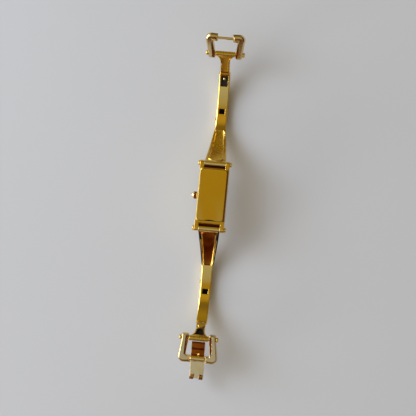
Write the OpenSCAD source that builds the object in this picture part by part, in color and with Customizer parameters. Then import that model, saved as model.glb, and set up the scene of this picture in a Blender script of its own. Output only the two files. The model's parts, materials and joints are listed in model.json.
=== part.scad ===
// Slim gold-tone bangle watch, opened flat: the case lies back up, carried clear of the table by two
// curved hollow arms. The origin is on the outer face of the case back, midway between the case hinges.
// +Z points out of the case back, +Y to the 12 o'clock end, and the crown is on the -X side.

/* [Case] */
// Width of the case over its long sides
case_w = 12.5; // [12:0.1:14]
// Length of the case between its two end walls
case_len = 24.7; // [24:0.1:27]
// Thickness of the case body, without crystal and case back
case_t = 5.55; // [5.3:0.05:6.5]
// Bevel along the two long edges, back and front
side_bevel = 0.9; // [0.4:0.05:1]
// Bevel along the end edges between the lugs
end_bevel = 0.8; // [0.3:0.05:1]
// Width of one lug
lug_w = 1.6; // [1.4:0.05:1.9]
// Radius of a lug round its hinge
lug_r = 1.25; // [1.15:0.05:1.4]
// Distance from an end wall to the hinge axis
hinge_reach = 1.6; // [1.55:0.05:2.2]
// Depth of the hinge axes below the face of the case back
hinge_depth = 1.6; // [1.5:0.05:2]
// Width of the room for the movement
cavity_w = 9; // [8.6:0.1:9.4]
// Length of the room for the movement
cavity_len = 20.4; // [19:0.1:21]

/* [Case back] */
// Width of the case back plate
back_w = 10.2; // [9.8:0.1:10.6]
// Length of the case back plate
back_len = 22.2; // [21.4:0.1:22.6]
// Offset of the plate towards the 12 o'clock end
back_shift = 0.45; // [0.2:0.05:0.5]
// Thickness of the plate
back_t = 0.9; // [0.7:0.05:1.1]
// Height of the plate above the case body
back_proud = 0.25; // [0.1:0.05:0.4]
// Corner radius of the plate
back_corner = 1.5; // [0.8:0.1:2]
// Wall of the snap lip under the plate
lip_wall = 0.6; // [0.4:0.05:0.8]
// Height of the snap lip
lip_h = 0.8; // [0.5:0.05:1]
// Depth of the lever notch at the 6 o'clock end, seen from above
notch_sag = 0.65; // [0.3:0.05:0.8]

/* [Dial side] */
// Width of the window over the dial
window_w = 7.6; // [7.4:0.1:8]
// Length of the window over the dial
window_len = 17.6; // [15:0.1:18.5]
// Thickness of the crystal
crystal_t = 0.9; // [0.6:0.05:1.1]
// Height of the crystal above the case front
crystal_proud = 0.2; // [0.1:0.05:0.4]
// Ledge that carries the crystal, on each side of the window
crystal_ledge = 0.5; // [0.4:0.05:0.6]
// Wall of the crystal gasket
crystal_seal = 0.22; // [0.15:0.01:0.3]
// Room for the hands between dial and crystal
hand_room = 1; // [0.95:0.05:1.2]
// Thickness of the dial
dial_t = 0.4; // [0.3:0.05:0.5]
// Length of the minute hand
minute_len = 3.3; // [2.8:0.1:3.5]
// Length of the hour hand
hour_len = 2.3; // [1.8:0.1:2.6]

/* [Movement] */
// Width of the movement's main plate
move_w = 7.2; // [6.8:0.1:7.4]
// Length of the movement's main plate
move_len = 16.6; // [15.6:0.1:17]
// Thickness of the main plate
plate_t = 0.8; // [0.6:0.05:0.9]
// Radius of the button cell
cell_r = 2.4; // [2.1:0.1:2.6]
// Thickness of the button cell
cell_t = 1.6; // [1.2:0.05:1.7]

/* [Crown] */
// Radius of the fluted barrel
crown_r = 1.55; // [1.3:0.05:1.8]
// Length of the fluted barrel
crown_len = 1.6; // [1.2:0.05:2]
// Height of the domed cap
crown_cap = 0.85; // [0.5:0.05:1]
// Number of flutes
crown_flutes = 22; // [16:1:30]
// Gap between crown and case
crown_gap = 0.25; // [0.15:0.05:0.4]
// Radius of the stem
stem_r = 0.5; // [0.4:0.05:0.55]
// Depth of the crown axis below the face of the case back
crown_depth = 3; // [2.9:0.05:3.1]

/* [Hinge bars] */
// Radius of the four hinge bars
bar_r = 0.6; // [0.5:0.05:0.7]
// Radius of the slotted heads
head_r = 1.05; // [0.9:0.05:1.2]
// Length of a head
head_len = 0.95; // [0.7:0.05:1.1]
// Width of the driver slot
slot_w = 0.32; // [0.25:0.01:0.4]
// Depth of the driver slot
slot_d = 0.45; // [0.3:0.05:0.5]
// Radius of the screw that closes a bar
screw_r = 0.32; // [0.25:0.01:0.36]
// Length of the screw's shank
screw_len = 2.4; // [1.8:0.1:3]

/* [Arms] */
// Radius of the curve along the middle of an arm
arm_r = 30; // [28:0.5:33]
// Angle on that curve from the lowest point back to the case hinge
hinge_deg = 52; // [50:0.5:54]
// Angle from the lowest point to the mouth of the sleeve
mouth_deg = 33; // [31.5:0.5:33.5]
// Thickness of an arm
arm_t = 2.6; // [2.4:0.05:2.8]
// Width of the narrow sleeve
sleeve_w = 4.75; // [4.7:0.05:5.4]
// Angle where the sleeve starts to widen towards the case
flare_deg = 14; // [12:0.5:16]
// Bevel on the edges next to the wrist
arm_bevel = 0.5; // [0.3:0.05:0.55]
// Radius of the knuckle on the case hinge
knuckle_r = 1.2; // [1.1:0.05:1.25]
// Depth of the sunk field in the wide end
field_depth = 0.9; // [0.5:0.05:1.1]
// Rim left beside the sunk field
field_rim = 0.85; // [0.6:0.05:1.1]
// Length of the rounded end of the sunk field
field_arch = 1.6; // [0.8:0.1:2]
// Width of the hollow inside the sleeve
hollow_w = 4; // [3.8:0.05:4.05]
// Height of the hollow inside the sleeve
hollow_h = 1.5; // [1.4:0.05:1.6]
// Width of the openings in the inner wall
opening_w = 2.6; // [2.2:0.1:3]
// Radius of the cross pin that closes the hollow
stop_r = 0.45; // [0.35:0.05:0.5]

/* [Sliding ends] */
// Side play of the tongue in the hollow
slide_play = 0.05; // [0.03:0.01:0.1]
// Angle of the T-bar on the arm's curve, 12 o'clock side
upper_bar_deg = 52; // [51.5:0.25:53]
// Angle of the T-bar on the arm's curve, 6 o'clock side
lower_bar_deg = 50; // [49.5:0.25:51]
// Width of the T-bar
t_bar_w = 8.3; // [8:0.1:9]
// Radius of the T-bar
t_bar_r = 1.15; // [1.05:0.05:1.25]
// Length on which the end widens to the T-bar, in degrees
t_flare_deg = 10; // [8:0.5:11]
// Depth of the recess behind the T-bar
t_recess = 0.7; // [0.4:0.05:0.9]
// Radius of the round catch button
catch_r = 0.55; // [0.45:0.05:0.6]
// Travel of a catch button when pressed
catch_travel = 0.35; // [0.2:0.05:0.4]

/* [Stirrups] */
// Tilt of the 12 o'clock stirrup above level
upper_tilt = 50; // [35:1:54]
// Tilt of the 6 o'clock stirrup below level
lower_tilt = 15; // [10:1:25]
// Distance from the T-bar to the cross bar
stirrup_len = 8.9; // [8.6:0.1:10]
// Thickness of a side link
link_t = 2.4; // [2.1:0.05:2.6]
// Width over both side links at the T-bar
link_out = 14.6; // [13.9:0.1:15.2]
// Extra width over both side links at the cross bar
link_splay = 2.5; // [1.5:0.1:3]
// Reach of a side link behind its hinge bar
ear_reach = 1.95; // [1.8:0.05:2.2]
// Length of a link's foot along the stirrup
foot_len = 3.3; // [3.1:0.1:3.8]
// Open gap between the two feet
foot_gap = 6.5; // [6:0.1:7]
// Width of the groove along the wrist face of a side link
groove_w = 0.9; // [0.5:0.05:1]
// Depth of that groove
groove_d = 0.4; // [0.2:0.05:0.5]
// Bevel round the edges of a side link
link_bevel = 0.55; // [0.3:0.05:0.65]
// Radius of the cross bar
cross_r = 0.6; // [0.5:0.05:0.7]

/* [Latch] */
// Side play of the latch between the feet
latch_play = 0.15; // [0.1:0.01:0.25]
// Reach of the hook beyond the cross bar
latch_reach = 9; // [8.6:0.1:9.6]
// Thickness of the latch plate
latch_t = 0.7; // [0.5:0.05:0.8]
// Outer radius of the latch knuckle
latch_knuckle_r = 1.35; // [1.2:0.05:1.45]
// Amount the plate narrows towards the hook
latch_taper = 0.6; // [0.3:0.05:1]
// Height of the hook above the plate
hook_h = 1.9; // [1.5:0.05:2.1]
// Length of the spring tail behind the cross bar
tail_len = 7.3; // [6.6:0.1:7.4]
// Thickness of the spring tail
tail_t = 0.45; // [0.35:0.05:0.55]

/* [Fits] */
// Clearance of a part that is pressed or screwed in
fit = 0.02; // [0.01:0.01:0.03]
// Radial clearance of a turning bar
running = 0.06; // [0.04:0.01:0.09]
// Side gap beside a turning knuckle
side_gap = 0.1; // [0.06:0.01:0.15]

/* [Hidden] */
$fn = 64;

GOLD = [0.83, 0.66, 0.3];
PALE_GOLD = [0.9, 0.78, 0.48];
STEEL = [0.6, 0.6, 0.62];
DARK_STEEL = [0.16, 0.15, 0.15];
RUBBER = [0.12, 0.12, 0.13];
GLASS = [0.75, 0.85, 0.9];
DIAL_WHITE = [0.95, 0.93, 0.88];
BLACK = [0.08, 0.08, 0.08];
HOLDER_WHITE = [0.88, 0.88, 0.85];
BOARD_GREEN = [0.1, 0.35, 0.22];
COPPER = [0.75, 0.42, 0.25];

// Levels in the case, all measured down from the face of the case back
body_top = -back_proud;
body_front = body_top - case_t;
crystal_front = body_front - crystal_proud;
crystal_back = crystal_front + crystal_t;
dial_front = crystal_back + hand_room;
dial_back = dial_front + dial_t;
plate_back = dial_back + plate_t;
lip_end = -back_t - lip_h;

// Hinges of the case
pin_y = case_len / 2 + hinge_reach;
pin_z = -hinge_depth;
lug_in = case_w / 2 - lug_w;
arm_end_w = 2 * (lug_in - side_gap);

// Centre of the curve of the 12 o'clock arm; the 6 o'clock arm is its mirror image
curve_y = pin_y + arm_r * sin(hinge_deg);
curve_z = pin_z + arm_r * cos(hinge_deg);
arm_in = arm_r - arm_t / 2;
arm_out = arm_r + arm_t / 2;
hollow_from = -flare_deg + 4;
tongue_w = hollow_w - 2 * slide_play;
tongue_h = hollow_h - 2 * slide_play;
ear_in = t_bar_w / 2 + side_gap;

// Concave seat of an arm's knuckle, low on the end wall of the case
seat_r = arm_t / 2 + 0.15;
seat_out = hinge_reach - 0.9;

// Hidden pieces of the case
seal_t = 0.3;
tube_r = 1.1;
hour_tube_r = 0.55;
minute_post_r = 0.3;
hour_at_rest = -55;
minute_at_rest = 60;
lever_x = -2.4;
cell_y = cell_r + 0.9 - move_len / 2;
bridge_y = 3.5;
bridge_len = 3;
bridge_screw_x = move_w / 2 - 1.3;
bridge_screw_r = 0.28;

// Places along the arms, in degrees on their curve
slot_from = 21.7;
slot_to = 31.3;
slot_open_w = 3.2;
hole_half = 2.3;
upper_hole_deg = 0;
upper_stop_deg = -6.5;
upper_tongue_deg = 4.5;
lower_hole_deg = 5.8;
lower_stop_deg = -2.4;
lower_tongue_deg = 9.5;
field_from = 12 - hinge_deg;
field_to = -flare_deg - 3.3;

// Catches of the sliding ends; a peg stands on peg_low, above the floor of its bore
peg_low = -0.1;
bore_floor = peg_low - catch_travel - 0.1;
leaf_w = 3;
leaf_sunk = 0.25;
leaf_from = 20;
leaf_to = 31.5;
catch_deg = 28.4;
tab_deg = 36.2;
tab_w = 2.9;
tab_len = 2.5;
tab_stem_r = 0.4;

// Stirrups and latch
cross_grip = 1.8;
latch_w = foot_gap - 2 * latch_play;
latch_low = -latch_knuckle_r;
tail_w = latch_w - 0.5;
heel_len = 2.8;
rivet_r = 0.35;
rivet_x = 0.5;
rivet_y = -2;

// Points of an arc in the plane, from angle a to angle b in n steps
function arc_pts(c, r, a, b, n) = [for (i = [0:n]) let (t = a + (b - a) * i / n) c + r * [cos(t), sin(t)]];

// Outline of a rectangle with round corners, centred on the origin
function round_rect(w, l, r) = concat(
    arc_pts([w / 2 - r, l / 2 - r], r, 0, 90, 8), arc_pts([r - w / 2, l / 2 - r], r, 90, 180, 8),
    arc_pts([r - w / 2, r - l / 2], r, 180, 270, 8), arc_pts([w / 2 - r, r - l / 2], r, 270, 360, 8));

// Outline moved inwards by d, each corner along its mitre; the points run anticlockwise
function edge_normal(p, q) = let (e = q - p) [e[1], -e[0]] / norm(e);
function inset(pts, d) = [for (i = [0:len(pts) - 1]) let (
    n = len(pts),
    before = edge_normal(pts[(i + n - 1) % n], pts[i]),
    after = edge_normal(pts[i], pts[(i + 1) % n])
) pts[i] - d * (before + after) / (1 + before * after)];

// Rounded plate from z = low to z = low + t
module slab(w, l, r, low, t) {
    translate([0, 0, low]) linear_extrude(t) polygon(round_rect(w, l, r));
}

// Frame of rounded outline with a straight inner opening
module ring_frame(w, l, r, wall, low, t) {
    difference() {
        slab(w, l, r, low, t);
        slab(w - 2 * wall, l - 2 * wall, max(r - wall, 0.2), low - 1, t + 2);
    }
}

// Cylinder along X between two places
module x_rod(r, from, to) {
    translate([from, 0, 0]) rotate([0, 90, 0]) cylinder(r = r, h = to - from);
}

// Prism along X of an outline given as [y, z] points
module x_prism(width, pts) {
    rotate([90, 0, 90]) translate([0, 0, -width / 2]) linear_extrude(width) polygon(pts);
}

// Prism along Y of an outline given as [x, z] points
module y_prism(from, to, pts) {
    translate([0, to, 0]) rotate([90, 0, 0]) linear_extrude(to - from) polygon(pts);
}

// Upright prism of a half outline given from its middle point on, mirrored to the other side
module mirrored_prism(half, low, high) {
    translate([0, 0, low]) linear_extrude(high - low) polygon(concat(
        half, [for (i = [len(half) - 1:-1:0]) [-half[i][0], half[i][1]]]));
}

// Its children twice: on the left and right side, or at the 12 and 6 o'clock end
module both_sides() {
    children();
    mirror([1, 0, 0]) children();
}
module both_ends() {
    children();
    mirror([0, 1, 0]) children();
}

// Closed solid through rings of equal count; each ring runs anticlockwise seen from the next one
module loft(rings) {
    n = len(rings[0]);
    last = len(rings) - 1;
    sides = [for (k = [0:last - 1], i = [0:n - 1], half = [0, 1]) let (j = (i + 1) % n)
        half == 0
            ? [k * n + i, (k + 1) * n + i, (k + 1) * n + j]
            : [k * n + i, (k + 1) * n + j, k * n + j]];
    caps = [[for (i = [0:n - 1]) i], [for (i = [n - 1:-1:0]) last * n + i]];
    polyhedron(points = [for (ring = rings, p = ring) p], faces = concat(sides, caps));
}

// Plate of outline pts and thickness t about z = 0, with its edges bevelled on both faces
module bevel_plate(pts, t, c) {
    slim = inset(pts, c);
    loft([
        [for (p = slim) [p[0], p[1], -t / 2]],
        [for (p = pts) [p[0], p[1], c - t / 2]],
        [for (p = pts) [p[0], p[1], t / 2 - c]],
        [for (p = slim) [p[0], p[1], t / 2]]
    ]);
}

// Puts its children at the centre of an arm's curve
module at_curve() {
    translate([0, curve_y, curve_z]) children();
}

// Puts its children on the curve at an angle: +Y runs on along the arm, +Z points to the wrist
module on_curve(deg, r = arm_r) {
    rotate([deg, 0, 0]) translate([0, 0, -r]) children();
}

// Piece of a curved bar of rectangular section, exact along the curve
module curved_bar(w, r_in, r_out, from, to) {
    rotate([0, 90, 0]) rotate([0, 0, from]) rotate_extrude(angle = to - from)
        polygon([[r_in, -w / 2], [r_out, -w / 2], [r_out, w / 2], [r_in, w / 2]]);
}

// Section of an arm at an angle, wider than the sleeve towards the case, as an octagon of bevelled corners
function widen(deg) = deg > -flare_deg ? 0 : 1 - pow((hinge_deg + deg) / (hinge_deg - flare_deg), 1.25);
function arm_half(deg) = sleeve_w / 2 + (arm_end_w - sleeve_w) / 2 * widen(deg);
function section(half, r_in, r_out, c, deg) = [for (p = [
    [c - half, r_in], [half - c, r_in], [half, r_in + c], [half, r_out - c],
    [half - c, r_out], [c - half, r_out], [-half, r_out - c], [-half, r_in + c]
]) [p[0], p[1] * sin(deg), -p[1] * cos(deg)]];

// Case body: gold-plated brass box with four lugs, open to the back for the movement
module case_body() color(GOLD) {
    opening = crystal_front - 1;
    lens_r = (pow(lug_in - 0.4, 2) + notch_sag * notch_sag) / (2 * notch_sag);
    notch_y = back_shift - back_len / 2 - fit - notch_sag;
    lug = concat(
        [[case_len / 2 - 1, body_top - case_t * 0.75], [case_len / 2 - 1, pin_z + lug_r]],
        arc_pts([pin_y, pin_z], lug_r, 90, -50, 14),
        [[case_len / 2, body_top - case_t * 0.75]]);
    difference() {
        union() {
            translate([-case_w / 2, -case_len / 2, body_front]) cube([case_w, case_len, case_t]);
            both_ends() both_sides() translate([(case_w - lug_w) / 2, 0, 0]) x_prism(lug_w, lug);
            both_ends() difference() {
                translate([-lug_in - 0.1, case_len / 2 - 1, body_front + end_bevel])
                    cube([2 * lug_in + 0.2, 1 + seat_out, pin_z - 0.9 - body_front - end_bevel]);
                translate([0, pin_y, pin_z]) x_rod(seat_r, -case_w, case_w);
            }
        }
        // Bevels of the long edges: beside the back plate, and all along the front
        both_sides() y_prism(back_shift - back_len / 2, back_shift + back_len / 2, [
            [case_w / 2 - side_bevel, body_top], [case_w / 2, body_top - side_bevel],
            [case_w / 2 + 1, body_top - side_bevel - 1], [case_w / 2 + 1, body_top + 1]]);
        both_sides() y_prism(-case_len / 2 - 1, case_len / 2 + 1, [
            [case_w / 2 - side_bevel, body_front], [case_w / 2 - side_bevel, body_front - 1],
            [case_w / 2 + 1, body_front - 1], [case_w / 2 + 1, body_front + side_bevel],
            [case_w / 2, body_front + side_bevel]]);
        // Bevels of the end edges between the lugs
        both_ends() x_prism(2 * lug_in, [
            [case_len / 2 - end_bevel, body_top], [case_len / 2, body_top - end_bevel],
            [case_len / 2 + 1, body_top - end_bevel], [case_len / 2 + 1, body_top + 1],
            [case_len / 2 - end_bevel, body_top + 1]]);
        // Seat of the back plate, and the lever notch beside it at the 6 o'clock end
        translate([0, back_shift, 0])
            slab(back_w + 2 * fit, back_len + 2 * fit, back_corner, -back_t, back_t + 1);
        intersection() {
            translate([0, notch_y + lens_r, -back_t]) cylinder(r = lens_r, h = back_t + 1, $fn = 128);
            translate([-lug_in, notch_y - 1, -back_t]) cube([2 * lug_in, notch_sag + 2, back_t + 1]);
        }
        // Room for the movement, window over the dial and seat of the crystal
        slab(cavity_w, cavity_len, 0.6, dial_front, -dial_front);
        slab(window_w, window_len, 0.5, opening, -opening);
        slab(window_w + 2 * crystal_ledge, window_len + 2 * crystal_ledge, 0.7, opening,
            crystal_back + crystal_seal - opening);
        // Bores of the hinge bars and of the crown tube
        both_ends() translate([0, pin_y, pin_z]) x_rod(bar_r + fit, -case_w, case_w);
        translate([0, 0, -crown_depth]) x_rod(tube_r + fit, -case_w, 0.1 - cavity_w / 2);
    }
}

// Case back: pressed-on plate with a snap lip, bare outside
module case_back() color(GOLD) {
    translate([0, back_shift, 0]) slab(back_w, back_len, back_corner, -back_t, back_t);
    ring_frame(cavity_w - 2 * fit, cavity_len - 2 * fit, 0.6, lip_wall, lip_end, lip_h);
}

// Rubber gasket under the snap lip
module case_back_gasket() color(RUBBER)
    ring_frame(cavity_w - 2 * fit, cavity_len - 2 * fit, 0.6, lip_wall, lip_end - seal_t, seal_t);

// Flat mineral crystal, and the gasket round and behind it
module crystal() color(GLASS, 0.35) slab(
    window_w + 2 * (crystal_ledge - crystal_seal - 2 * fit),
    window_len + 2 * (crystal_ledge - crystal_seal - 2 * fit), 0.5, crystal_front, crystal_t);
module crystal_gasket() color(RUBBER) {
    w = window_w + 2 * (crystal_ledge - fit);
    len = window_len + 2 * (crystal_ledge - fit);
    low = body_front + 0.1;
    difference() {
        slab(w, len, 0.7, low, crystal_back + crystal_seal - low);
        slab(w - 2 * crystal_seal, len - 2 * crystal_seal, 0.5, low - 1, crystal_back - low + 1);
        slab(window_w, window_len, 0.5, body_front - 1, case_t);
    }
}

// Dial: thin plate with raised bars at 12, 3, 6 and 9
module dial() color(DIAL_WHITE) difference() {
    union() {
        slab(cavity_w - 2 * fit, cavity_len - 2 * fit, 0.6, dial_front, dial_t);
        both_ends() translate([-0.2, window_len * 0.41 - 0.9, dial_front - 0.12]) cube([0.4, 1.8, 0.2]);
        both_sides() translate([window_w * 0.36 - 0.55, -0.2, dial_front - 0.12]) cube([1.1, 0.4, 0.2]);
    }
    translate([0, 0, dial_front - 1]) cylinder(r = hour_tube_r + 0.2, h = dial_t + 2);
}

// Room for the stem in the frame and the main plate
module stem_room() {
    translate([-cavity_w, -stem_r - 0.2, dial_back - 1]) cube([cavity_w - 1.4, 2 * stem_r + 0.4, 4]);
}

// Plastic frame that centres the movement in the case
module movement_holder() color(HOLDER_WHITE) difference() {
    slab(cavity_w - 4 * fit, cavity_len - 4 * fit, 0.6,
        dial_back + fit, lip_end - seal_t - dial_back - 2 * fit);
    slab(move_w + 2 * fit, move_len + 2 * fit, 0.8, dial_back - 1, 4);
    stem_room();
}

// Main plate of the quartz movement
module main_plate() color(STEEL) difference() {
    slab(move_w, move_len, 0.8, dial_back + fit, plate_t);
    stem_room();
    translate([0, 0, dial_back - 1]) cylinder(r = hour_tube_r + running, h = 4);
    both_sides() translate([bridge_screw_x, bridge_y, plate_back - 0.4])
        cylinder(r = bridge_screw_r + fit, h = 1);
}

// Bridge over the wheel train, and its two screws
module train_bridge() color(STEEL) difference() {
    translate([0, bridge_y, 0]) slab(move_w - 0.6, bridge_len, 0.5, plate_back + 2 * fit, 1);
    both_sides() translate([bridge_screw_x, bridge_y, plate_back])
        cylinder(r = bridge_screw_r + fit, h = 2);
}
module bridge_screw() color(STEEL)
    translate([bridge_screw_x, bridge_y, plate_back + 1 + 3 * fit]) difference() {
        union() {
            translate([0, 0, -1.4]) cylinder(r = bridge_screw_r, h = 1.5);
            cylinder(r = 0.55, h = 0.3);
        }
        translate([-1, -0.08, 0.15]) cube([2, 0.16, 1]);
    }
module left_bridge_screw() mirror([1, 0, 0]) bridge_screw();
module right_bridge_screw() bridge_screw();

// Circuit board with its chip, beside the coil
module circuit_board() color(BOARD_GREEN) translate([0, move_len / 2 - 0.85, plate_back + 2 * fit]) {
    slab(move_w - 1, 1.4, 0.2, 0, 0.35);
    translate([-1.2, -0.5, 0.3]) cube([2, 1, 0.5]);
}

// Motor coil: copper winding between two collars
module coil() color(COPPER) translate([0, bridge_y + bridge_len / 2 + 0.9, plate_back + 0.8]) {
    x_rod(0.6, 0.9 - move_w / 2, move_w / 2 - 0.9);
    both_sides() x_rod(0.75, move_w / 2 - 1.2, move_w / 2 - 0.8);
}

// Button cell, and the sprung strap over it
module button_cell() color(STEEL) translate([0, cell_y, plate_back + 2 * fit]) {
    cylinder(r = cell_r, h = cell_t - 0.3);
    translate([0, 0, cell_t - 0.4]) cylinder(r = cell_r - 0.25, h = 0.4);
}
module cell_clamp() color(STEEL) translate([0, cell_y, plate_back + 2 * fit]) {
    translate([0, 0, cell_t + fit]) slab(move_w - 0.4, 1.2, 0.2, 0, 0.15);
    both_sides() translate([move_w / 2 - 0.45, -0.6, 0]) cube([0.25, 1.2, cell_t + 0.1]);
}

// Hands at ten past ten, seen through the crystal
module hour_hand() color(BLACK) difference() {
    union() {
        translate([0, 0, dial_front - 0.4]) cylinder(r = hour_tube_r, h = dial_t + plate_t + 0.3);
        translate([0, 0, dial_front - 0.4]) cylinder(r = 0.72, h = 0.18);
        rotate([0, 0, hour_at_rest]) translate([0, 0, dial_front - 0.4]) linear_extrude(0.15)
            polygon([[-0.32, 0], [0.32, 0], [0.12, hour_len], [-0.12, hour_len]]);
    }
    translate([0, 0, dial_front - 1]) cylinder(r = minute_post_r + running, h = 4);
}
module minute_hand() color(BLACK) {
    translate([0, 0, dial_front - 0.75]) cylinder(r = minute_post_r, h = dial_t + plate_t + 1);
    translate([0, 0, dial_front - 0.76]) cylinder(r = 0.6, h = 0.22);
    rotate([0, 0, minute_at_rest]) translate([0, 0, dial_front - 0.72]) linear_extrude(0.14)
        polygon([[-0.24, -0.9], [0.24, -0.9], [0.1, minute_len], [-0.1, minute_len]]);
}

// Tube of the crown, pressed into the case side
module crown_tube() color(GOLD) translate([0, 0, -crown_depth]) difference() {
    x_rod(tube_r, -case_w / 2 - 0.1, -cavity_w / 2);
    x_rod(stem_r + running, -case_w, 0);
    x_rod(stem_r + seal_t, -case_w, 1.1 - case_w / 2);
}

// Fluted crown with a domed cap
module crown() color(GOLD) {
    flutes = [for (i = [0:2 * crown_flutes - 1]) let (a = 180 * i / crown_flutes)
        (crown_r - 0.14 * (i % 2)) * [cos(a), sin(a)]];
    dome = [for (i = [0:8]) [crown_r * 0.75 * cos(i * 90 / 8), crown_cap * sin(i * 90 / 8)]];
    translate([-case_w / 2 - crown_gap, 0, -crown_depth]) rotate([0, -90, 0]) difference() {
        union() {
            linear_extrude(crown_len) polygon(flutes);
            translate([0, 0, crown_len - 0.01]) rotate_extrude()
                polygon(concat([[0, -0.2], [dome[0][0], -0.2]], dome));
        }
        translate([0, 0, -1]) cylinder(r = stem_r + fit, h = 1 + crown_len / 2);
        translate([0, 0, -1]) cylinder(r = stem_r + seal_t, h = 1.3);
    }
}

// Stem with the groove of the setting lever, and the gasket on the stem
module crown_stem() color(STEEL) translate([0, 0, -crown_depth]) {
    x_rod(stem_r, -case_w / 2 - crown_gap - crown_len / 2, lever_x - 0.3);
    x_rod(stem_r - 0.2, lever_x - 0.4, lever_x + 0.4);
    x_rod(stem_r, lever_x + 0.3, lever_x + 0.8);
}
module crown_gasket() color(RUBBER) translate([0, 0, -crown_depth]) difference() {
    x_rod(stem_r + seal_t - 0.04, -case_w / 2 - crown_gap - 0.1, 1 - case_w / 2);
    x_rod(stem_r + fit, -case_w, 0);
}

// Setting lever: its fork rides in the groove, so it goes in and out with the stem but doesn't turn
module setting_lever() color(STEEL) translate([lever_x, 0, -crown_depth]) {
    translate([-0.5, -1.1, stem_r + 0.15]) cube([1, 2.6, 0.35]);
    translate([-0.5, 1, crown_depth + plate_back + 3 * fit]) cube([1, 0.5, 0.6]);
    difference() {
        translate([-0.15, -stem_r - 0.15, -0.1]) cube([0.3, 2 * stem_r + 0.3, stem_r + 0.3]);
        x_rod(stem_r - 0.2 + running, -1, 1);
        translate([-1, 0.2 - stem_r - running, -1]) cube([2, 2 * (stem_r - 0.2 + running), 1]);
    }
}

// Hinge bar with one solid slotted head, and the slotted screw that closes its other end
module driver_slot(x) {
    translate([x - slot_d, -slot_w / 2, -2 * head_r]) cube([2 * slot_d, slot_w, 4 * head_r]);
}
module hinge_bar(half) color(GOLD) difference() {
    union() {
        x_rod(bar_r, -half - 0.1, half - 0.05);
        x_rod(head_r, -half - head_len, -half);
    }
    driver_slot(-half - head_len);
    x_rod(screw_r + fit, half - screw_len - 0.2, half);
}
module hinge_screw(half) color(GOLD) difference() {
    union() {
        x_rod(screw_r, half - screw_len, half + 0.1);
        x_rod(head_r, half, half + head_len);
    }
    driver_slot(half + head_len);
}
module on_case_hinge() {
    translate([0, pin_y, pin_z]) children();
}
module upper_case_bar() on_case_hinge() hinge_bar(case_w / 2);
module upper_case_screw() on_case_hinge() hinge_screw(case_w / 2);
module lower_case_bar() mirror([0, 1, 0]) on_case_hinge() hinge_bar(case_w / 2);
module lower_case_screw() mirror([0, 1, 0]) on_case_hinge() hinge_screw(case_w / 2);

// Hollow arm: knuckle on the case hinge, wide end with a sunk field, sleeve with openings to the wrist
module arm(openings, stop_deg) color(GOLD) {
    steps = 34;
    rim = [for (i = [0:8]) let (deg = field_from + (field_to - field_from) * i / 8)
        [arm_half(deg) - field_rim, arm_r * sin(deg)]];
    arch = [for (i = [0:5]) [rim[0][0] * sin(15 * i), rim[0][1] - field_arch * cos(15 * i)]];
    difference() {
        union() {
            loft([for (i = [0:steps]) let (deg = -hinge_deg + (hinge_deg + mouth_deg) * i / steps)
                section(arm_half(deg), arm_in, arm_out, arm_bevel, deg)]);
            on_curve(-hinge_deg) x_rod(knuckle_r, -arm_end_w / 2, arm_end_w / 2);
        }
        on_curve(-hinge_deg) x_rod(bar_r + running, -case_w, case_w);
        intersection() {
            curved_bar(arm_end_w, arm_in - 1, arm_in + field_depth, -hinge_deg, 0);
            mirrored_prism(concat(arch, rim), -2 * arm_r, 0);
        }
        curved_bar(hollow_w, arm_r - hollow_h / 2, arm_r + hollow_h / 2, hollow_from, mouth_deg + 2);
        for (o = openings) curved_bar(o[2], arm_in - 1, arm_r, o[0], o[1]);
        on_curve(stop_deg) x_rod(stop_r + fit, -case_w, case_w);
    }
}

// Cross pin with a slotted head that closes the hollow towards the case
module stop_pin(stop_deg) color(GOLD) on_curve(stop_deg) difference() {
    union() {
        x_rod(stop_r, -sleeve_w / 2 - 0.1, sleeve_w / 2);
        x_rod(stop_r + 0.35, -sleeve_w / 2 - 0.4, -sleeve_w / 2);
    }
    translate([-sleeve_w / 2 - 0.6, -slot_w / 2, -1]) cube([0.35, slot_w, 2]);
}
module upper_arm() at_curve() arm([
    [slot_from, slot_to, slot_open_w],
    [upper_hole_deg - hole_half, upper_hole_deg + hole_half, opening_w]], upper_stop_deg);
module upper_stop_pin() at_curve() stop_pin(upper_stop_deg);
module lower_arm() mirror([0, 1, 0]) at_curve() arm([
    [lower_hole_deg - hole_half, lower_hole_deg + hole_half, opening_w]], lower_stop_deg);
module lower_stop_pin() mirror([0, 1, 0]) at_curve() stop_pin(lower_stop_deg);

// Sliding end: a curved tongue in the hollow, widening to the T-bar that carries the stirrup
module slider(tongue_deg, bar_deg, recess_deg) {
    flare = bar_deg - t_flare_deg;
    t_half = t_bar_r - 0.15;
    grow = (t_bar_w - tongue_w) / 2;
    side = [for (i = [0:10]) let (share = i / 10)
        [tongue_w / 2 + grow * pow(share, 2.4), arm_r * sin(flare + t_flare_deg * share)]];
    recess_to = bar_deg - 4;
    recess = [for (i = [0:8]) let (deg = recess_deg + (recess_to - recess_deg) * i / 8)
        [tongue_w / 2 - 0.85 + grow * pow(max(0, (deg - flare) / t_flare_deg), 2.4), arm_r * sin(deg)]];
    difference() {
        union() {
            curved_bar(tongue_w, arm_r - tongue_h / 2, arm_r + tongue_h / 2, tongue_deg, flare + 2);
            intersection() {
                curved_bar(t_bar_w, arm_r - t_half, arm_r + t_half, flare, bar_deg);
                mirrored_prism(
                    concat([[side[0][0], side[0][1] - 2]], side, [[side[10][0], side[10][1] + 2]]),
                    -2 * arm_r, 0);
            }
            on_curve(bar_deg) x_rod(t_bar_r, -t_bar_w / 2, t_bar_w / 2);
        }
        on_curve(bar_deg) x_rod(bar_r + running, -t_bar_w, t_bar_w);
        intersection() {
            curved_bar(t_bar_w, arm_in - 1, arm_r - t_half + t_recess, recess_deg, recess_to);
            mirrored_prism(concat([[recess[0][0], recess[0][1] - 2]], recess), -2 * arm_r, 0);
        }
    }
}
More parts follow.
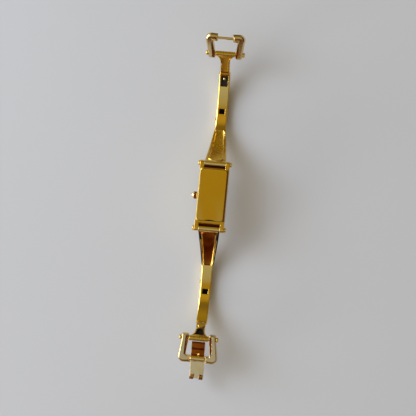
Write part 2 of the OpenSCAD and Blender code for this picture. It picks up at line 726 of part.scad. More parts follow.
module upper_slider() color(GOLD) at_curve() difference() {
    slider(upper_tongue_deg, upper_bar_deg, mouth_deg + 2);
    on_curve(catch_deg) translate([0, 0, bore_floor]) cylinder(r = catch_r + running, h = 3);
    curved_bar(leaf_w + 0.2, arm_in, arm_r - leaf_sunk, leaf_from, leaf_to);
}

// Leaf spring that lifts the round catch button into the slot of the 12 o'clock arm
module upper_catch_spring() color(DARK_STEEL) at_curve() difference() {
    curved_bar(leaf_w, arm_r - leaf_sunk - 0.17, arm_r - leaf_sunk - fit, leaf_from + 0.2, leaf_to - 0.2);
    on_curve(catch_deg) cylinder(r = catch_r + running, h = 4, center = true);
}
module upper_catch_button() color(PALE_GOLD) at_curve() on_curve(catch_deg) {
    translate([0, 0, peg_low]) cylinder(r = catch_r, h = arm_t / 2 - 0.15);
    translate([0, 0, arm_t / 2 - 0.3]) intersection() {
        translate([0, 0, 0.28 - 0.7]) sphere(r = 0.7);
        cylinder(r = catch_r, h = 1);
    }
}

// Catch tab at the mouth of the 6 o'clock arm, pressed in to let the end slide
module tab_shape(extra, h) {
    linear_extrude(h) polygon(concat(
        [[-tab_w / 2 - extra, -tab_len / 2 - extra], [tab_w / 2 + extra, -tab_len / 2 - extra]],
        [for (i = [0:12])
            [(tab_w / 2 + extra) * cos(15 * i), tab_len / 2 - 1 + (1 + extra) * sin(15 * i)]]));
}
module lower_slider() color(GOLD) mirror([0, 1, 0]) at_curve() difference() {
    slider(lower_tongue_deg, lower_bar_deg, tab_deg + 3.2);
    on_curve(tab_deg) translate([0, 0, bore_floor]) cylinder(r = tab_stem_r + running, h = 3);
    on_curve(tab_deg) translate([0, 0, leaf_sunk]) tab_shape(0.12, 3);
}
module lower_catch_tab() color(PALE_GOLD) mirror([0, 1, 0]) at_curve() on_curve(tab_deg) {
    difference() {
        translate([0, 0, leaf_sunk + 0.5]) tab_shape(0, 0.5);
        both_sides() translate([0.7, -0.75, 0]) cylinder(r = 0.2, h = 3);
    }
    translate([0, 0, peg_low]) cylinder(r = tab_stem_r, h = leaf_sunk + 0.7);
}

// Places a stirrup's own frame on its T-bar: +Y runs out to the cross bar
module on_t_bar(bar_deg, tilt) {
    at_curve() on_curve(bar_deg) rotate([-bar_deg - tilt, 0, 0]) children();
}
module on_upper_stirrup() {
    on_t_bar(upper_bar_deg, -upper_tilt) children();
}
module on_lower_stirrup() {
    mirror([0, 1, 0]) on_t_bar(lower_bar_deg, lower_tilt) children();
}

// Side link of a stirrup: a flat ear on the end bar, a splayed limb and a foot that holds the cross bar
module side_link() color(GOLD) {
    slope = link_splay / 2 / stirrup_len;
    foot_in = stirrup_len - 0.4 * foot_len;
    foot_out = foot_in + foot_len;
    corner_r = 2.6;
    ear_corner = 0.8;
    corner_y = foot_out - corner_r;
    corner = [link_out / 2 - corner_r * sqrt(1 + slope * slope) + slope * corner_y, corner_y];
    inner = ear_in + 0.8 * slope * foot_in;
    groove_x = ear_in + link_bevel + 0.2 + groove_w / 2;
    groove_to = foot_in - 1.2;
    difference() {
        bevel_plate(concat(
            arc_pts([ear_in + ear_corner, ear_corner - ear_reach], ear_corner, 180, 270, 4),
            arc_pts([link_out / 2 - ear_corner, ear_corner - ear_reach], ear_corner, 270, 360, 4),
            [[link_out / 2, 0]],
            arc_pts(corner, corner_r, -atan(slope), 90, 8),
            [[foot_gap / 2, foot_out - 0.15], [foot_gap / 2, foot_in], [inner - 0.4, foot_in],
            [inner, foot_in - 0.6], [ear_in, 0]]), link_t, link_bevel);
        x_rod(bar_r + fit, 0, link_out);
        x_rod(head_r + running, link_out / 2, link_out);
        translate([0, stirrup_len, 0]) x_rod(cross_r + fit, 0, foot_gap / 2 + cross_grip + 0.1);
        translate([0, 0, link_t / 2 - groove_d]) linear_extrude(link_t) polygon(concat(
            arc_pts([groove_x, -0.8], groove_w / 2, 180, 360, 8),
            arc_pts([groove_x + 0.8 * slope * groove_to, groove_to], groove_w / 2, 0, 180, 8)));
    }
}
module cross_bar() color(PALE_GOLD) translate([0, stirrup_len, 0])
    x_rod(cross_r, -foot_gap / 2 - cross_grip, foot_gap / 2 + cross_grip);
module upper_left_link() on_upper_stirrup() mirror([1, 0, 0]) side_link();
module upper_right_link() on_upper_stirrup() side_link();
module upper_cross_bar() on_upper_stirrup() cross_bar();
module upper_end_bar() on_upper_stirrup() hinge_bar(link_out / 2);
module upper_end_screw() on_upper_stirrup() hinge_screw(link_out / 2);
module lower_left_link() on_lower_stirrup() mirror([1, 0, 0]) side_link();
module lower_right_link() on_lower_stirrup() side_link();
module lower_cross_bar() on_lower_stirrup() cross_bar();
module lower_end_bar() on_lower_stirrup() hinge_bar(link_out / 2);
module lower_end_screw() on_lower_stirrup() hinge_screw(link_out / 2);

// Latch: knuckle on the 6 o'clock cross bar, plate, heel for the tail, and two hook fingers
module latch() color(PALE_GOLD) on_lower_stirrup() translate([0, stirrup_len, 0]) {
    top = latch_low + latch_t;
    tip = top + hook_h;
    difference() {
        union() {
            x_rod(latch_knuckle_r, -latch_w / 2, latch_w / 2);
            x_prism(latch_w, concat(
                [[0, latch_low]], arc_pts([latch_reach - 0.7, latch_low + 0.7], 0.7, -90, 0, 6),
                arc_pts([latch_reach - 0.3, tip - 0.3], 0.3, 0, 90, 4),
                [[latch_reach - 1.5, tip], [latch_reach - 1.5, tip - 0.5], [latch_reach - 0.8, tip - 0.6],
                [latch_reach - 0.7, tip - 0.7], [latch_reach - 0.7, top + 0.2], [latch_reach - 0.9, top],
                [0, top]]));
            translate([0, -heel_len / 2 - 0.3, -0.55])
                cube([tail_w - 1.2, heel_len - 0.6, 0.6], center = true);
        }
        x_rod(cross_r + running, -latch_w, latch_w);
        // The plate narrows towards the hook
        both_sides() translate([0, 0, -5]) linear_extrude(10) polygon([
            [latch_w / 2, latch_knuckle_r], [latch_w, latch_knuckle_r],
            [latch_w, latch_reach + 1], [(latch_w - latch_taper) / 2, latch_reach + 1]]);
        // The middle of the hook is cut away down to a rounded tongue
        translate([0, 0, top]) linear_extrude(5) polygon(concat([[1.2, latch_reach + 1]],
            [for (i = [0:10]) [1.2 * cos(18 * i), latch_reach - 1.5 - 1.2 * sin(18 * i)]],
            [[-1.2, latch_reach + 1]]));
        translate([rivet_x, rivet_y, -2]) cylinder(r = rivet_r + fit, h = 2);
    }
}

// Wavy spring tail that snaps the latch in line with its stirrup, and the rivet that holds it on the heel
module latch_tail() color(PALE_GOLD) on_lower_stirrup() translate([0, stirrup_len, 0]) {
    root = 0.12 - latch_knuckle_r;
    wave = [for (i = [0:16]) [root - (tail_len + root) * i / 16, 0.22 * sin(i * 45)]];
    difference() {
        x_prism(tail_w, concat(
            [for (p = wave) [p[0], p[1] - tail_t / 2]],
            [for (i = [16:-1:0]) [wave[i][0], wave[i][1] + tail_t / 2]]));
        x_rod(latch_knuckle_r + fit, -foot_gap, foot_gap);
        translate([rivet_x, rivet_y, -2]) cylinder(r = rivet_r + fit, h = 4);
    }
}
module latch_rivet() color(GOLD) on_lower_stirrup() translate([rivet_x, stirrup_len + rivet_y, 0]) {
    translate([0, 0, -0.85]) cylinder(r = rivet_r, h = 1.4);
    translate([0, 0, 0.47]) intersection() {
        translate([0, 0, 0.3 - 0.55]) sphere(r = 0.55);
        cylinder(r = 0.5, h = 1);
    }
}

case_body();
case_back();
case_back_gasket();
crystal();
crystal_gasket();
dial();
movement_holder();
main_plate();
train_bridge();
left_bridge_screw();
right_bridge_screw();
circuit_board();
coil();
button_cell();
cell_clamp();
hour_hand();
minute_hand();
crown_tube();
crown();
crown_stem();
crown_gasket();
setting_lever();
upper_case_bar();
upper_case_screw();
lower_case_bar();
lower_case_screw();
upper_arm();
upper_stop_pin();
upper_slider();
upper_catch_spring();
upper_catch_button();
upper_left_link();
upper_right_link();
upper_cross_bar();
upper_end_bar();
upper_end_screw();
lower_arm();
lower_stop_pin();
lower_slider();
lower_catch_tab();
lower_left_link();
lower_right_link();
lower_cross_bar();
lower_end_bar();
lower_end_screw();
latch();
latch_tail();
latch_rivet();
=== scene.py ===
import json
import math

import bmesh
import bpy
import numpy as np
from mathutils import Matrix, Vector


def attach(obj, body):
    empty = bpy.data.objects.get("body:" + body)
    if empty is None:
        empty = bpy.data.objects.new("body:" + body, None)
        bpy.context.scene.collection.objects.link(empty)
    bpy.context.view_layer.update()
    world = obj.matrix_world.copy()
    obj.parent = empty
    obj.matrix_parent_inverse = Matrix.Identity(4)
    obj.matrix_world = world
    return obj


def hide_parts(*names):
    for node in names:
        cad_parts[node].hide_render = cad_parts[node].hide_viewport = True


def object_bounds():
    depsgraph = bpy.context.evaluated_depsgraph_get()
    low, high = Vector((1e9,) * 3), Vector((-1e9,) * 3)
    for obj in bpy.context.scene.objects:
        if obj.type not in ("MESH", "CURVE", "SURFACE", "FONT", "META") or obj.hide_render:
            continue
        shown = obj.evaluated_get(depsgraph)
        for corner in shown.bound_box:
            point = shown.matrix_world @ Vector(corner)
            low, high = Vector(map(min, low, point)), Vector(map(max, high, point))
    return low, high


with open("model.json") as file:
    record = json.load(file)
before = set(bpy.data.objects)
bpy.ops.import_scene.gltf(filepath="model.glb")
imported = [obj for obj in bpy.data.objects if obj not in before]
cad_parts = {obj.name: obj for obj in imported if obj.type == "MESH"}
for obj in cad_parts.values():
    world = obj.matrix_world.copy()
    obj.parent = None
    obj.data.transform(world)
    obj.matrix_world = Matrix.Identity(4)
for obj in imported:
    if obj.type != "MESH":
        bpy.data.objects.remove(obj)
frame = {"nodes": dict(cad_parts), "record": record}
cad_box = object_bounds()

# Table and studio: a pale matt table under the arms, and soft lamps on the left that throw the warm
# shadows to the right. The room is bright on the crown side, pale by the 6 o'clock end, and gold to dark
# brown elsewhere.
FRAME_PX, PX_PER_MM, ORIGIN_PX = 416, 2.355, (211.8, 196.1)
FRAME_W = FRAME_PX / 1000 / PX_PER_MM
TURN, LEAN_RIGHT, LEAN_DOWN, CAMERA_AWAY = math.radians(5.4), 0.08, 0.06, 0.75
TABLE_Z, TABLE_HALF = cad_box[0][2], 3.0


def node_maker(tree):
    """Empties a node tree and returns a function that adds a node. There set_x gives the node's value x, in6
    its input number 6, any other word the input of that name, and out picks the output that comes back."""
    tree.nodes.clear()

    def add(kind, out=None, **inputs):
        node = tree.nodes.new(kind)
        for key, value in inputs.items():
            if key.startswith("set_"):
                setattr(node, key[4:], value)
                continue
            number = key[2:] if key.startswith("in") else ""
            socket = node.inputs[int(number) if number.isdigit() else key.replace("_", " ")]
            if isinstance(value, bpy.types.NodeSocket):
                tree.links.new(value, socket)
            else:
                socket.default_value = value
        return node if out is None else node.outputs[out]

    return add


def new_material(name):
    """Empty node material, and the function that adds nodes to it."""
    mat = bpy.data.materials.new(name)
    mat.use_nodes = True
    return mat, node_maker(mat.node_tree)


def blend_of(add, share, first, second):
    """Colour that runs from the first to the second as share goes from 0 to 1."""
    return add("ShaderNodeMix", set_data_type="RGBA", in0=share, in6=first, in7=second).outputs[2]


def make_table():
    mat, add = new_material("table_paint")
    where = add("ShaderNodeTexCoord", "Object")
    cloud = add("ShaderNodeTexNoise", "Fac", Vector=where, Scale=9.0, Detail=3.0)
    tint = blend_of(add, cloud, (0.665, 0.680, 0.702, 1), (0.692, 0.708, 0.730, 1))
    grain = add("ShaderNodeTexNoise", "Fac", Vector=where, Scale=900.0, Detail=2.0)
    bump = add("ShaderNodeBump", "Normal", Strength=0.04, Distance=0.0002, Height=grain)
    shader = add("ShaderNodeBsdfPrincipled", "BSDF", Base_Color=tint, Roughness=0.75, Normal=bump)
    add("ShaderNodeOutputMaterial", Surface=shader)
    mesh = bpy.data.meshes.new("table")
    corners = [(x * TABLE_HALF, y * TABLE_HALF, TABLE_Z) for x, y in ((-1, -1), (1, -1), (1, 1), (-1, 1))]
    mesh.from_pydata(corners, [], [(0, 1, 2, 3)])
    table = bpy.data.objects.new("table", mesh)
    mesh.materials.append(mat)
    bpy.context.scene.collection.objects.link(table)


def make_room():
    world = bpy.data.worlds.new("room")
    world.use_nodes = True
    bpy.context.scene.world = world
    add = node_maker(world.node_tree)
    way = add("ShaderNodeSeparateXYZ", None, in0=add("ShaderNodeTexCoord", "Generated"))
    x, y, z = way.outputs

    def band(value, low, high, first, last, kind="SMOOTHSTEP"):
        return add("ShaderNodeMapRange", "Result", set_interpolation_type=kind, Value=value, in1=low,
                   in2=high, in3=first, in4=last)

    # What stands over the watch from the 6 o'clock end, y -1, over the top to the 12 o'clock end, y 1
    over = [(-1.0, (0.10, 0.03, 0.01)), (-0.955, (0.07, 0.018, 0.006)), (-0.945, (0.45, 0.30, 0.05)),
            (-0.925, (0.45, 0.30, 0.05)), (-0.915, (0.07, 0.018, 0.006)), (-0.83, (0.12, 0.03, 0.008)),
            (-0.80, (0.26, 0.17, 0.03)), (-0.72, (0.26, 0.17, 0.03)), (-0.62, (0.46, 0.49, 0.60)),
            (-0.52, (0.46, 0.49, 0.60)), (-0.45, (0.44, 0.46, 0.56)), (-0.35, (0.42, 0.43, 0.50)),
            (-0.25, (0.42, 0.42, 0.46)), (-0.10, (0.40, 0.38, 0.34)), (0.0, (0.37, 0.27, 0.05)),
            (0.03, (0.37, 0.26, 0.02)), (0.14, (0.38, 0.27, 0.03)), (0.30, (0.48, 0.35, 0.07)),
            (0.42, (0.44, 0.33, 0.06)), (0.48, (0.32, 0.24, 0.035)), (0.52, (0.19, 0.135, 0.03)),
            (0.62, (0.19, 0.135, 0.03)), (0.80, (0.32, 0.24, 0.035)), (0.94, (0.25, 0.18, 0.035)),
            (1.0, (0.10, 0.08, 0.05))]
    ramp = add("ShaderNodeValToRGB", None, Fac=band(y, -1.0, 1.0, 0.0, 1.0, "LINEAR"))
    stops = ramp.color_ramp.elements
    stops[0].position, stops[1].position = 0.0, 1.0
    for value, colour in over[1:-1]:
        stops.new((value + 1) / 2).color = colour + (1,)
    stops[0].color, stops[len(stops) - 1].color = over[0][1] + (1,), over[-1][1] + (1,)
    colour = ramp.outputs[0]
    # Bright low down on the crown side, dark brown on the other
    level = add("ShaderNodeMath", "Value", set_operation="ABSOLUTE", in0=y)
    share = add("ShaderNodeMath", "Value", set_operation="MULTIPLY", in0=band(x, -0.28, -0.62, 0.0, 1.0),
                in1=band(level, 0.45, 0.7, 1.0, 0.0))
    colour = blend_of(add, share, colour, (1.6, 1.66, 1.8, 1))
    colour = blend_of(add, band(x, 0.35, 0.7, 0.0, 1.0), colour, (0.11, 0.05, 0.03, 1))
    light = add("ShaderNodeBackground", "Background", Color=colour, Strength=1.0)
    add("ShaderNodeOutputWorld", Surface=light)


def soft_box(name, place, aim, size, watts, colour, mirrored=True, lighting=True):
    """Rectangular lamp turned to aim. Polished faces show it if mirrored; matt ones are lit if lighting."""
    data = bpy.data.lights.new(name, "AREA")
    data.shape = "RECTANGLE"
    data.size, data.size_y = size
    data.energy = watts
    data.color = colour
    box = bpy.data.objects.new(name, data)
    bpy.context.scene.collection.objects.link(box)
    box.visible_glossy, box.visible_diffuse = mirrored, lighting
    box.location = place
    box.rotation_euler = (Vector(aim) - Vector(place)).to_track_quat("-Z", "Y").to_euler()


make_table()
make_room()
soft_box("left_box", (-0.75, 0.2, 0.42), (0, 0, 0), (0.4, 0.5), 3.8, (0.74, 0.84, 1.0))
soft_box("low_window", (-1.0, -0.62, 0.24), (0, 0, 0), (0.45, 0.22), 3.2, (1.0, 0.97, 0.9))
soft_box("far_window", (-0.32, -1.2, 0.11), (0, 0, 0), (0.55, 0.18), 1.6, (1.0, 0.98, 0.94), mirrored=False)
soft_box("left_wall", (-1.1, 0.05, 0.36), (0, 0.05, 0.36), (1.1, 0.7), 11.0, (0.97, 0.98, 1.0),
         lighting=False)

lens = bpy.data.cameras.new("camera")
lens.sensor_width = 36
lens.angle = 2 * math.atan(FRAME_W / 2 / CAMERA_AWAY)
lens.clip_start, lens.clip_end = 0.01, 20
camera = bpy.data.objects.new("camera", lens)
bpy.context.scene.collection.objects.link(camera)
# The camera looks down on the case back, a little from the right and from the 6 o'clock end, and the
# frame is turned so that the object's origin and its long axis fall where the photograph has them
right = np.array([math.cos(TURN), math.sin(TURN), 0.0])
up = np.array([-math.sin(TURN), math.cos(TURN), 0.0])
aside = LEAN_RIGHT * right - LEAN_DOWN * up + np.array([0.0, 0.0, 1.0])
aside /= np.linalg.norm(aside)
across = np.cross(up, aside)
across /= np.linalg.norm(across)
upright = np.cross(aside, across)
shift_x, shift_y = FRAME_PX / 2 - ORIGIN_PX[0], FRAME_PX / 2 - ORIGIN_PX[1]
centre = (shift_x * across - shift_y * upright) / PX_PER_MM / 1000
place = Matrix(np.stack([across, upright, aside], 1).tolist()).to_4x4()
place.translation = centre + CAMERA_AWAY * aside
camera.matrix_world = place
bpy.context.scene.camera = camera
bpy.context.scene.view_settings.view_transform = "Standard"

# Case body, stop pins, catch spring and everything inside the case keep their built shape and get a
# finish here. The case is brass under heavy yellow gold plate, polished by hand. In the gaps between its
# lugs it is painted dark brown, painted shade with some dirt.
GOLD_DEEP, GOLD_WORN, GOLD_ROUGH = (0.86, 0.60, 0.135, 1), (0.88, 0.64, 0.19, 1), 0.09
# Dark brown painted into the gaps between the lugs: painted shade with some dirt
GAP_SHADE_AND_DIRT, LUG_GAP = (0.10, 0.025, 0.006, 1), (0.0046, 0.0119)
EDGE_ROUND, WIPE_DEPTH, DARKER = 0.00012, 0.05, 0.86


def polished(name, deep, worn, rough, gap=None):
    """Plated metal whose tone runs from deep to worn in soft clouds, under faint scratches along Y. With
    a gap it takes dark brown painted shade and dirt where x is within gap[0] metres of 0 and y is
    more than gap[1] from it."""
    mat, add = new_material(name)
    where = add("ShaderNodeTexCoord", "Object")
    cloud = add("ShaderNodeTexNoise", "Fac", Vector=where, Scale=160.0, Detail=4.0, Roughness=0.6)
    share = add("ShaderNodeMapRange", "Result", Value=cloud, in1=0.4, in2=0.75, in3=0.0, in4=1.0)
    tint = blend_of(add, share, deep, worn)
    # Painted shade and dirt: dark brown in the gaps between the lugs
    if gap:
        spot = add("ShaderNodeVectorMath", None, set_operation="ABSOLUTE", in0=where)
        spot = add("ShaderNodeSeparateXYZ", None, in0=spot.outputs[0])
        near = add("ShaderNodeMath", "Value", set_operation="LESS_THAN", in0=spot.outputs[0], in1=gap[0])
        far = add("ShaderNodeMath", "Value", set_operation="GREATER_THAN", in0=spot.outputs[1], in1=gap[1])
        both = add("ShaderNodeMath", "Value", set_operation="MULTIPLY", in0=near, in1=far)
        tint = blend_of(add, both, tint, GAP_SHADE_AND_DIRT)
    along = add("ShaderNodeMapping", "Vector", Vector=where, Scale=(9000.0, 900.0, 3000.0))
    wipe = add("ShaderNodeTexNoise", "Fac", Vector=along, Scale=1.0, Detail=2.0)
    gloss = add("ShaderNodeMapRange", "Result", Value=wipe, in1=0.3, in2=0.8, in3=rough, in4=rough + 0.09)
    round_edge = add("ShaderNodeBevel", "Normal", set_samples=6, Radius=EDGE_ROUND)
    bump = add("ShaderNodeBump", "Normal", Strength=WIPE_DEPTH, Distance=0.00002, Height=wipe,
               Normal=round_edge)
    shader = add("ShaderNodeBsdfPrincipled", "BSDF", Base_Color=tint, Roughness=gloss, Metallic=1.0,
                 Normal=bump)
    add("ShaderNodeOutputMaterial", Surface=shader)
    return mat


def plain(name, colour, rough, metal=0.0, grain=0.03, **shine):
    """Plastic, lacquer, glass or bare metal with a fine grain; shine names further values of the shader."""
    mat, add = new_material(name)
    where = add("ShaderNodeTexCoord", "Object")
    cloud = add("ShaderNodeTexNoise", "Fac", Vector=where, Scale=900.0, Detail=3.0)
    tint = blend_of(add, cloud, tuple(c * DARKER for c in colour) + (1,), colour + (1,))
    gloss = add("ShaderNodeMapRange", "Result", Value=cloud, in1=0.3, in2=0.7, in3=rough, in4=rough + 0.08)
    bump = add("ShaderNodeBump", "Normal", Strength=grain, Distance=0.00003, Height=cloud)
    shader = add("ShaderNodeBsdfPrincipled", "BSDF", Base_Color=tint, Roughness=gloss, Metallic=metal,
                 Normal=bump, **shine)
    add("ShaderNodeOutputMaterial", Surface=shader)
    return mat


FINISH = {
    "gold": polished("gold_plate", GOLD_DEEP, GOLD_WORN, GOLD_ROUGH),
    "pale_gold": polished("pale_gold_plate", (0.84, 0.66, 0.29, 1), (0.86, 0.70, 0.36, 1), 0.12),
    "steel": plain("nickel_steel", (0.55, 0.54, 0.53), 0.32, metal=1.0),
    "black_steel": plain("blackened_steel", (0.03, 0.025, 0.02), 0.4, metal=0.6),
    "rubber": plain("gasket_rubber", (0.02, 0.02, 0.02), 0.7),
    "dial": plain("ivory_lacquer", (0.86, 0.82, 0.72), 0.35),
    "hand_black": plain("hand_enamel", (0.01, 0.01, 0.01), 0.2),
    "holder": plain("holder_plastic", (0.78, 0.78, 0.74), 0.5),
    "board": plain("solder_resist", (0.02, 0.12, 0.06), 0.4),
    "copper": plain("enamelled_wire", (0.55, 0.2, 0.08), 0.35, metal=0.8),
    "crystal": plain("mineral_crystal", (0.95, 0.98, 0.97), 0.03, grain=0.0, Transmission_Weight=1.0,
                     IOR=1.5),
}
# The case body's finish, with dark brown painted shade and dirt between its lugs
case_plate_gap_shade_and_dirt = polished("case_plate_gap_shade_and_dirt_plate", GOLD_DEEP, GOLD_WORN, GOLD_ROUGH, gap=LUG_GAP)
for part in frame["record"]["subparts"]:
    cad = frame["nodes"][part["node"]]
    cad.data.materials.clear()
    cad.data.materials.append(case_plate_gap_shade_and_dirt if part["node"] == "case_body" else FINISH[part["material_slot"]])

# 12 o'clock and 6 o'clock arms: curved hollow bars of gold-plated brass, pressed in one and polished.
# Each is wide and sunk at the case, narrows to a sleeve, and has openings to the wrist side that show the
# catch.
ARM_R, ARM_T, HINGE_DEG, MOUTH_DEG, FLARE_DEG = 30.0, 2.6, 52.0, 33.0, 14.0
ARM_END_W, SLEEVE_W, HOLLOW_W, HOLLOW_HALF = 9.1, 4.75, 4.0, 0.75
WRIST_ROUND, OUTER_ROUND, KNUCKLE_R, BORE_R = 0.55, 0.75, 1.2, 0.66
FIELD_FROM, FIELD_TO, FIELD_ARCH, FIELD_DEPTH, FIELD_RIM = -46.8, -17.3, 3.6, 0.9, 0.8
FIELD_BOW, RIM_GROWTH, BORDER_DEPTH, FLOOR_ROUND, LIP_ROUND, FLOOR_IN = 0.16, 0.55, 0.32, 0.12, 0.32, 0.48
PIN_Y, PIN_Z, BORE_HALF, HOLLOW_FROM, OPENING_REACH, NEAR_CURVE = 13.95, -1.6, 8, -10, 2.8, 0.76
CURVE_Y = PIN_Y + ARM_R * math.sin(math.radians(HINGE_DEG))
CURVE_Z = PIN_Z + ARM_R * math.cos(math.radians(HINGE_DEG))
# Deeper, rougher gold, painted shade: the 12 o'clock sunk field and flanks, and the T-bars
FINISH["field_gold"] = polished("field_gold_plate", (0.66, 0.42, 0.06, 1), (0.74, 0.50, 0.10, 1), 0.22)
# Dark brown gilt, painted shade and dark reflection: 6 o'clock field, link grooves, latch, spring, crown
FINISH["brown_gilt"] = polished("browned_gilt", (0.24, 0.055, 0.008, 1), (0.46, 0.17, 0.025, 1), 0.16)
# Near black, painted shade: the arms' hollows, the 6 o'clock flanks and recess, the back's rim and notch
FINISH["black_painted_shade"] = plain("unpolished_brass", (0.012, 0.008, 0.005), 0.8, Specular_IOR_Level=0.15)


def on_arm(x, r, deg, side):
    """Points in mm on an arm's curve: x across, r from its centre, deg along; side is 1 at 12 o'clock."""
    x, r, a = np.broadcast_arrays(x, r, np.radians(deg))
    return np.stack([x, side * (CURVE_Y + r * np.sin(a)), CURVE_Z - r * np.cos(a)], -1)


def corner(cx, cy, r, first, last, steps):
    """Points of an arc: the centre plus r times cosine and sine of angles from first to last degree."""
    a = np.radians(np.linspace(first, last, steps + 1))
    return np.stack([cx + r * np.cos(a), cy + r * np.sin(a)], -1)


def skin(name, rings):
    """Closed tube over a (rows, columns, 3) grid of points in mm: ring joins ring, flat faces end it."""
    rows, cols = rings.shape[:2]
    k = np.arange(rows * cols).reshape(rows, cols)
    a, b = k[:-1], k[1:]
    quads = np.stack([a, np.roll(a, -1, 1), np.roll(b, -1, 1), b], -1).reshape(-1, 4).tolist()
    mesh = bpy.data.meshes.new(name)
    mesh.from_pydata(rings.reshape(-1, 3).tolist(), [], quads + [k[0, ::-1].tolist(), k[-1].tolist()])
    piece = bpy.data.objects.new(name, mesh)
    bpy.context.scene.collection.objects.link(piece)
    tidy(piece)
    return piece


def tidy(piece, gap=0.002):
    """Merges points that lie together, dissolves empty faces and turns all faces outwards."""
    work = bmesh.new()
    work.from_mesh(piece.data)
    bmesh.ops.remove_doubles(work, verts=work.verts, dist=gap)
    bmesh.ops.dissolve_degenerate(work, edges=work.edges, dist=gap)
    bmesh.ops.recalc_face_normals(work, faces=work.faces)
    work.to_mesh(piece.data)
    work.free()


def carve(piece, others, operation="DIFFERENCE"):
    """Cuts the other closed pieces out of this one, or joins them to it, and removes them."""
    for other in others:
        cut = piece.modifiers.new("cut", "BOOLEAN")
        cut.operation, cut.solver, cut.object = operation, "EXACT", other
    bpy.context.view_layer.update()
    shape = bpy.data.meshes.new_from_object(piece.evaluated_get(bpy.context.evaluated_depsgraph_get()))
    piece.modifiers.clear()
    piece.data = shape
    for other in others:
        bpy.data.objects.remove(other)
    return piece


def finish_piece(piece, body, slot, nodes, angle=30.0, look=None):
    """Brings a piece to metres, smooths it up to an angle, gives it its look and body, and hides the
    CAD nodes it stands for.
    """
    work = bmesh.new()
    work.from_mesh(piece.data)
    bmesh.ops.scale(work, vec=(0.001, 0.001, 0.001), verts=work.verts)
    for edge in work.edges:
        edge.smooth = len(edge.link_faces) == 2 and edge.calc_face_angle(0.0) < math.radians(angle)
    for face in work.faces:
        face.smooth = True
    work.to_mesh(piece.data)
    work.free()
    piece.data.materials.clear()
    piece.data.materials.append(FINISH[look or slot])
    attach(piece, body)
    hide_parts(*nodes)
    return piece


def rod(name, r, left, right, y, z, rounding=0.12):
    """Round bar along X: a profile with quarter-round rims, carried round the axis through (y, z)."""
    rim = corner(0, 0, rounding, 0, 90, 5)
    profile = [(left, 0.02)] + [(left + rounding - s, r - rounding + c) for c, s in rim[::-1]]
    profile += [(right - rounding + s, r - rounding + c) for c, s in rim] + [(right, 0.02)]
    x, radius = np.array(profile).T
    a = np.linspace(0, 2 * np.pi, 48, endpoint=False)
    x = np.repeat(x[:, None], len(a), 1)
    return skin(name, np.stack([x, y + np.outer(radius, np.cos(a)), z + np.outer(radius, np.sin(a))], -1))


def curved_block(name, width, r_in, r_out, start, stop, side):
    """Block on the arm's curve: a rectangle, width by r_in to r_out, carried from start to stop."""
    deg = np.linspace(start, stop, max(3, int(abs(stop - start)) + 1))
    x = np.array([-width / 2, width / 2, width / 2, -width / 2])
    r = np.array([r_in, r_in, r_out, r_out])
    return skin(name, on_arm(x[None], r[None], deg[:, None], side))


def widening(deg):
    """Share of the way from the flare, 0, to the case hinge, 1, along the arm's curve."""
    return np.clip((-FLARE_DEG - deg) / (HINGE_DEG - FLARE_DEG), 0, 1)


def arm_half(deg):
    """Half width: the sleeve's, plus a part that grows towards the case as 1 - (1 - share) ** 1.25."""
    return SLEEVE_W / 2 + (ARM_END_W - SLEEVE_W) / 2 * (1 - (1 - widening(deg)) ** 1.25)


def arm_skin(name, side):
    """Rounded section carried along the arm. Inside the field, which ends in half an ellipse by the case,
    its wrist face steps down to a floor that bows as the square of the way to the field's edge."""
    arch = FIELD_FROM - FIELD_ARCH * np.cos(np.radians(np.linspace(0, 90, 12)))
    deg = np.concatenate([np.linspace(-HINGE_DEG, FIELD_FROM - FIELD_ARCH - 0.3, 4), arch,
                          np.linspace(FIELD_FROM + 0.5, FIELD_TO, 36),
                          [FIELD_TO + 0.4], np.linspace(FIELD_TO + 0.7, MOUTH_DEG, 60)])
    half, wide = arm_half(deg), widening(deg)
    inside = (deg > FIELD_FROM - FIELD_ARCH) & (deg <= FIELD_TO)
    bow = np.sqrt(np.clip(1 - ((FIELD_FROM - deg) / FIELD_ARCH) ** 2, 0, 1))
    field = (half - FIELD_RIM - RIM_GROWTH * wide) * np.where(deg < FIELD_FROM, bow, 1.0)
    field = np.where(deg > FIELD_TO, arm_half(FIELD_TO) - FIELD_RIM, field)
    depth = np.where(inside, FIELD_DEPTH, 0.0)
    r_in, r_out = ARM_R - ARM_T / 2, ARM_R + ARM_T / 2
    inner = corner(-WRIST_ROUND, WRIST_ROUND, WRIST_ROUND, -90, 0, 6)
    outer = corner(-OUTER_ROUND, -OUTER_ROUND, OUTER_ROUND, 0, 90, 7)
    rings = []
    across = np.linspace(0, 1, 7)[:-1]
    for d, h, f, dip, w in zip(deg, half, field, depth, wide):
        floor = np.stack([across * (f - FLOOR_IN), FIELD_DEPTH - FIELD_BOW * across ** 2], -1)
        foot = corner(f - FLOOR_IN, FIELD_DEPTH - FIELD_BOW - FLOOR_ROUND, FLOOR_ROUND, 90, 0, 3)
        rim = np.concatenate([floor, foot, corner(f, LIP_ROUND, LIP_ROUND, 180, 270, 5)])
        border = f + (h - WRIST_ROUND - f) * np.array([0.0, 0.35, 1.0])
        sink = np.array([0.0, BORDER_DEPTH, 0.0]) * min(1.0, 3 * w) * dip / FIELD_DEPTH
        x = np.concatenate([np.maximum(rim[:, 0], 0), border, h + inner[:, 0], h + outer[:, 0],
                            [(h - OUTER_ROUND) / 2, 0]])
        r = np.concatenate([r_in + rim[:, 1] * dip / FIELD_DEPTH, r_in + sink, r_in + inner[:, 1],
                            r_out + outer[:, 1], [r_out, r_out]])
        x = np.concatenate([x, -x[-2:0:-1]])
        r = np.concatenate([r, r[-2:0:-1]])
        rings.append(on_arm(x, r, d, side))
    return skin(name, np.array(rings))


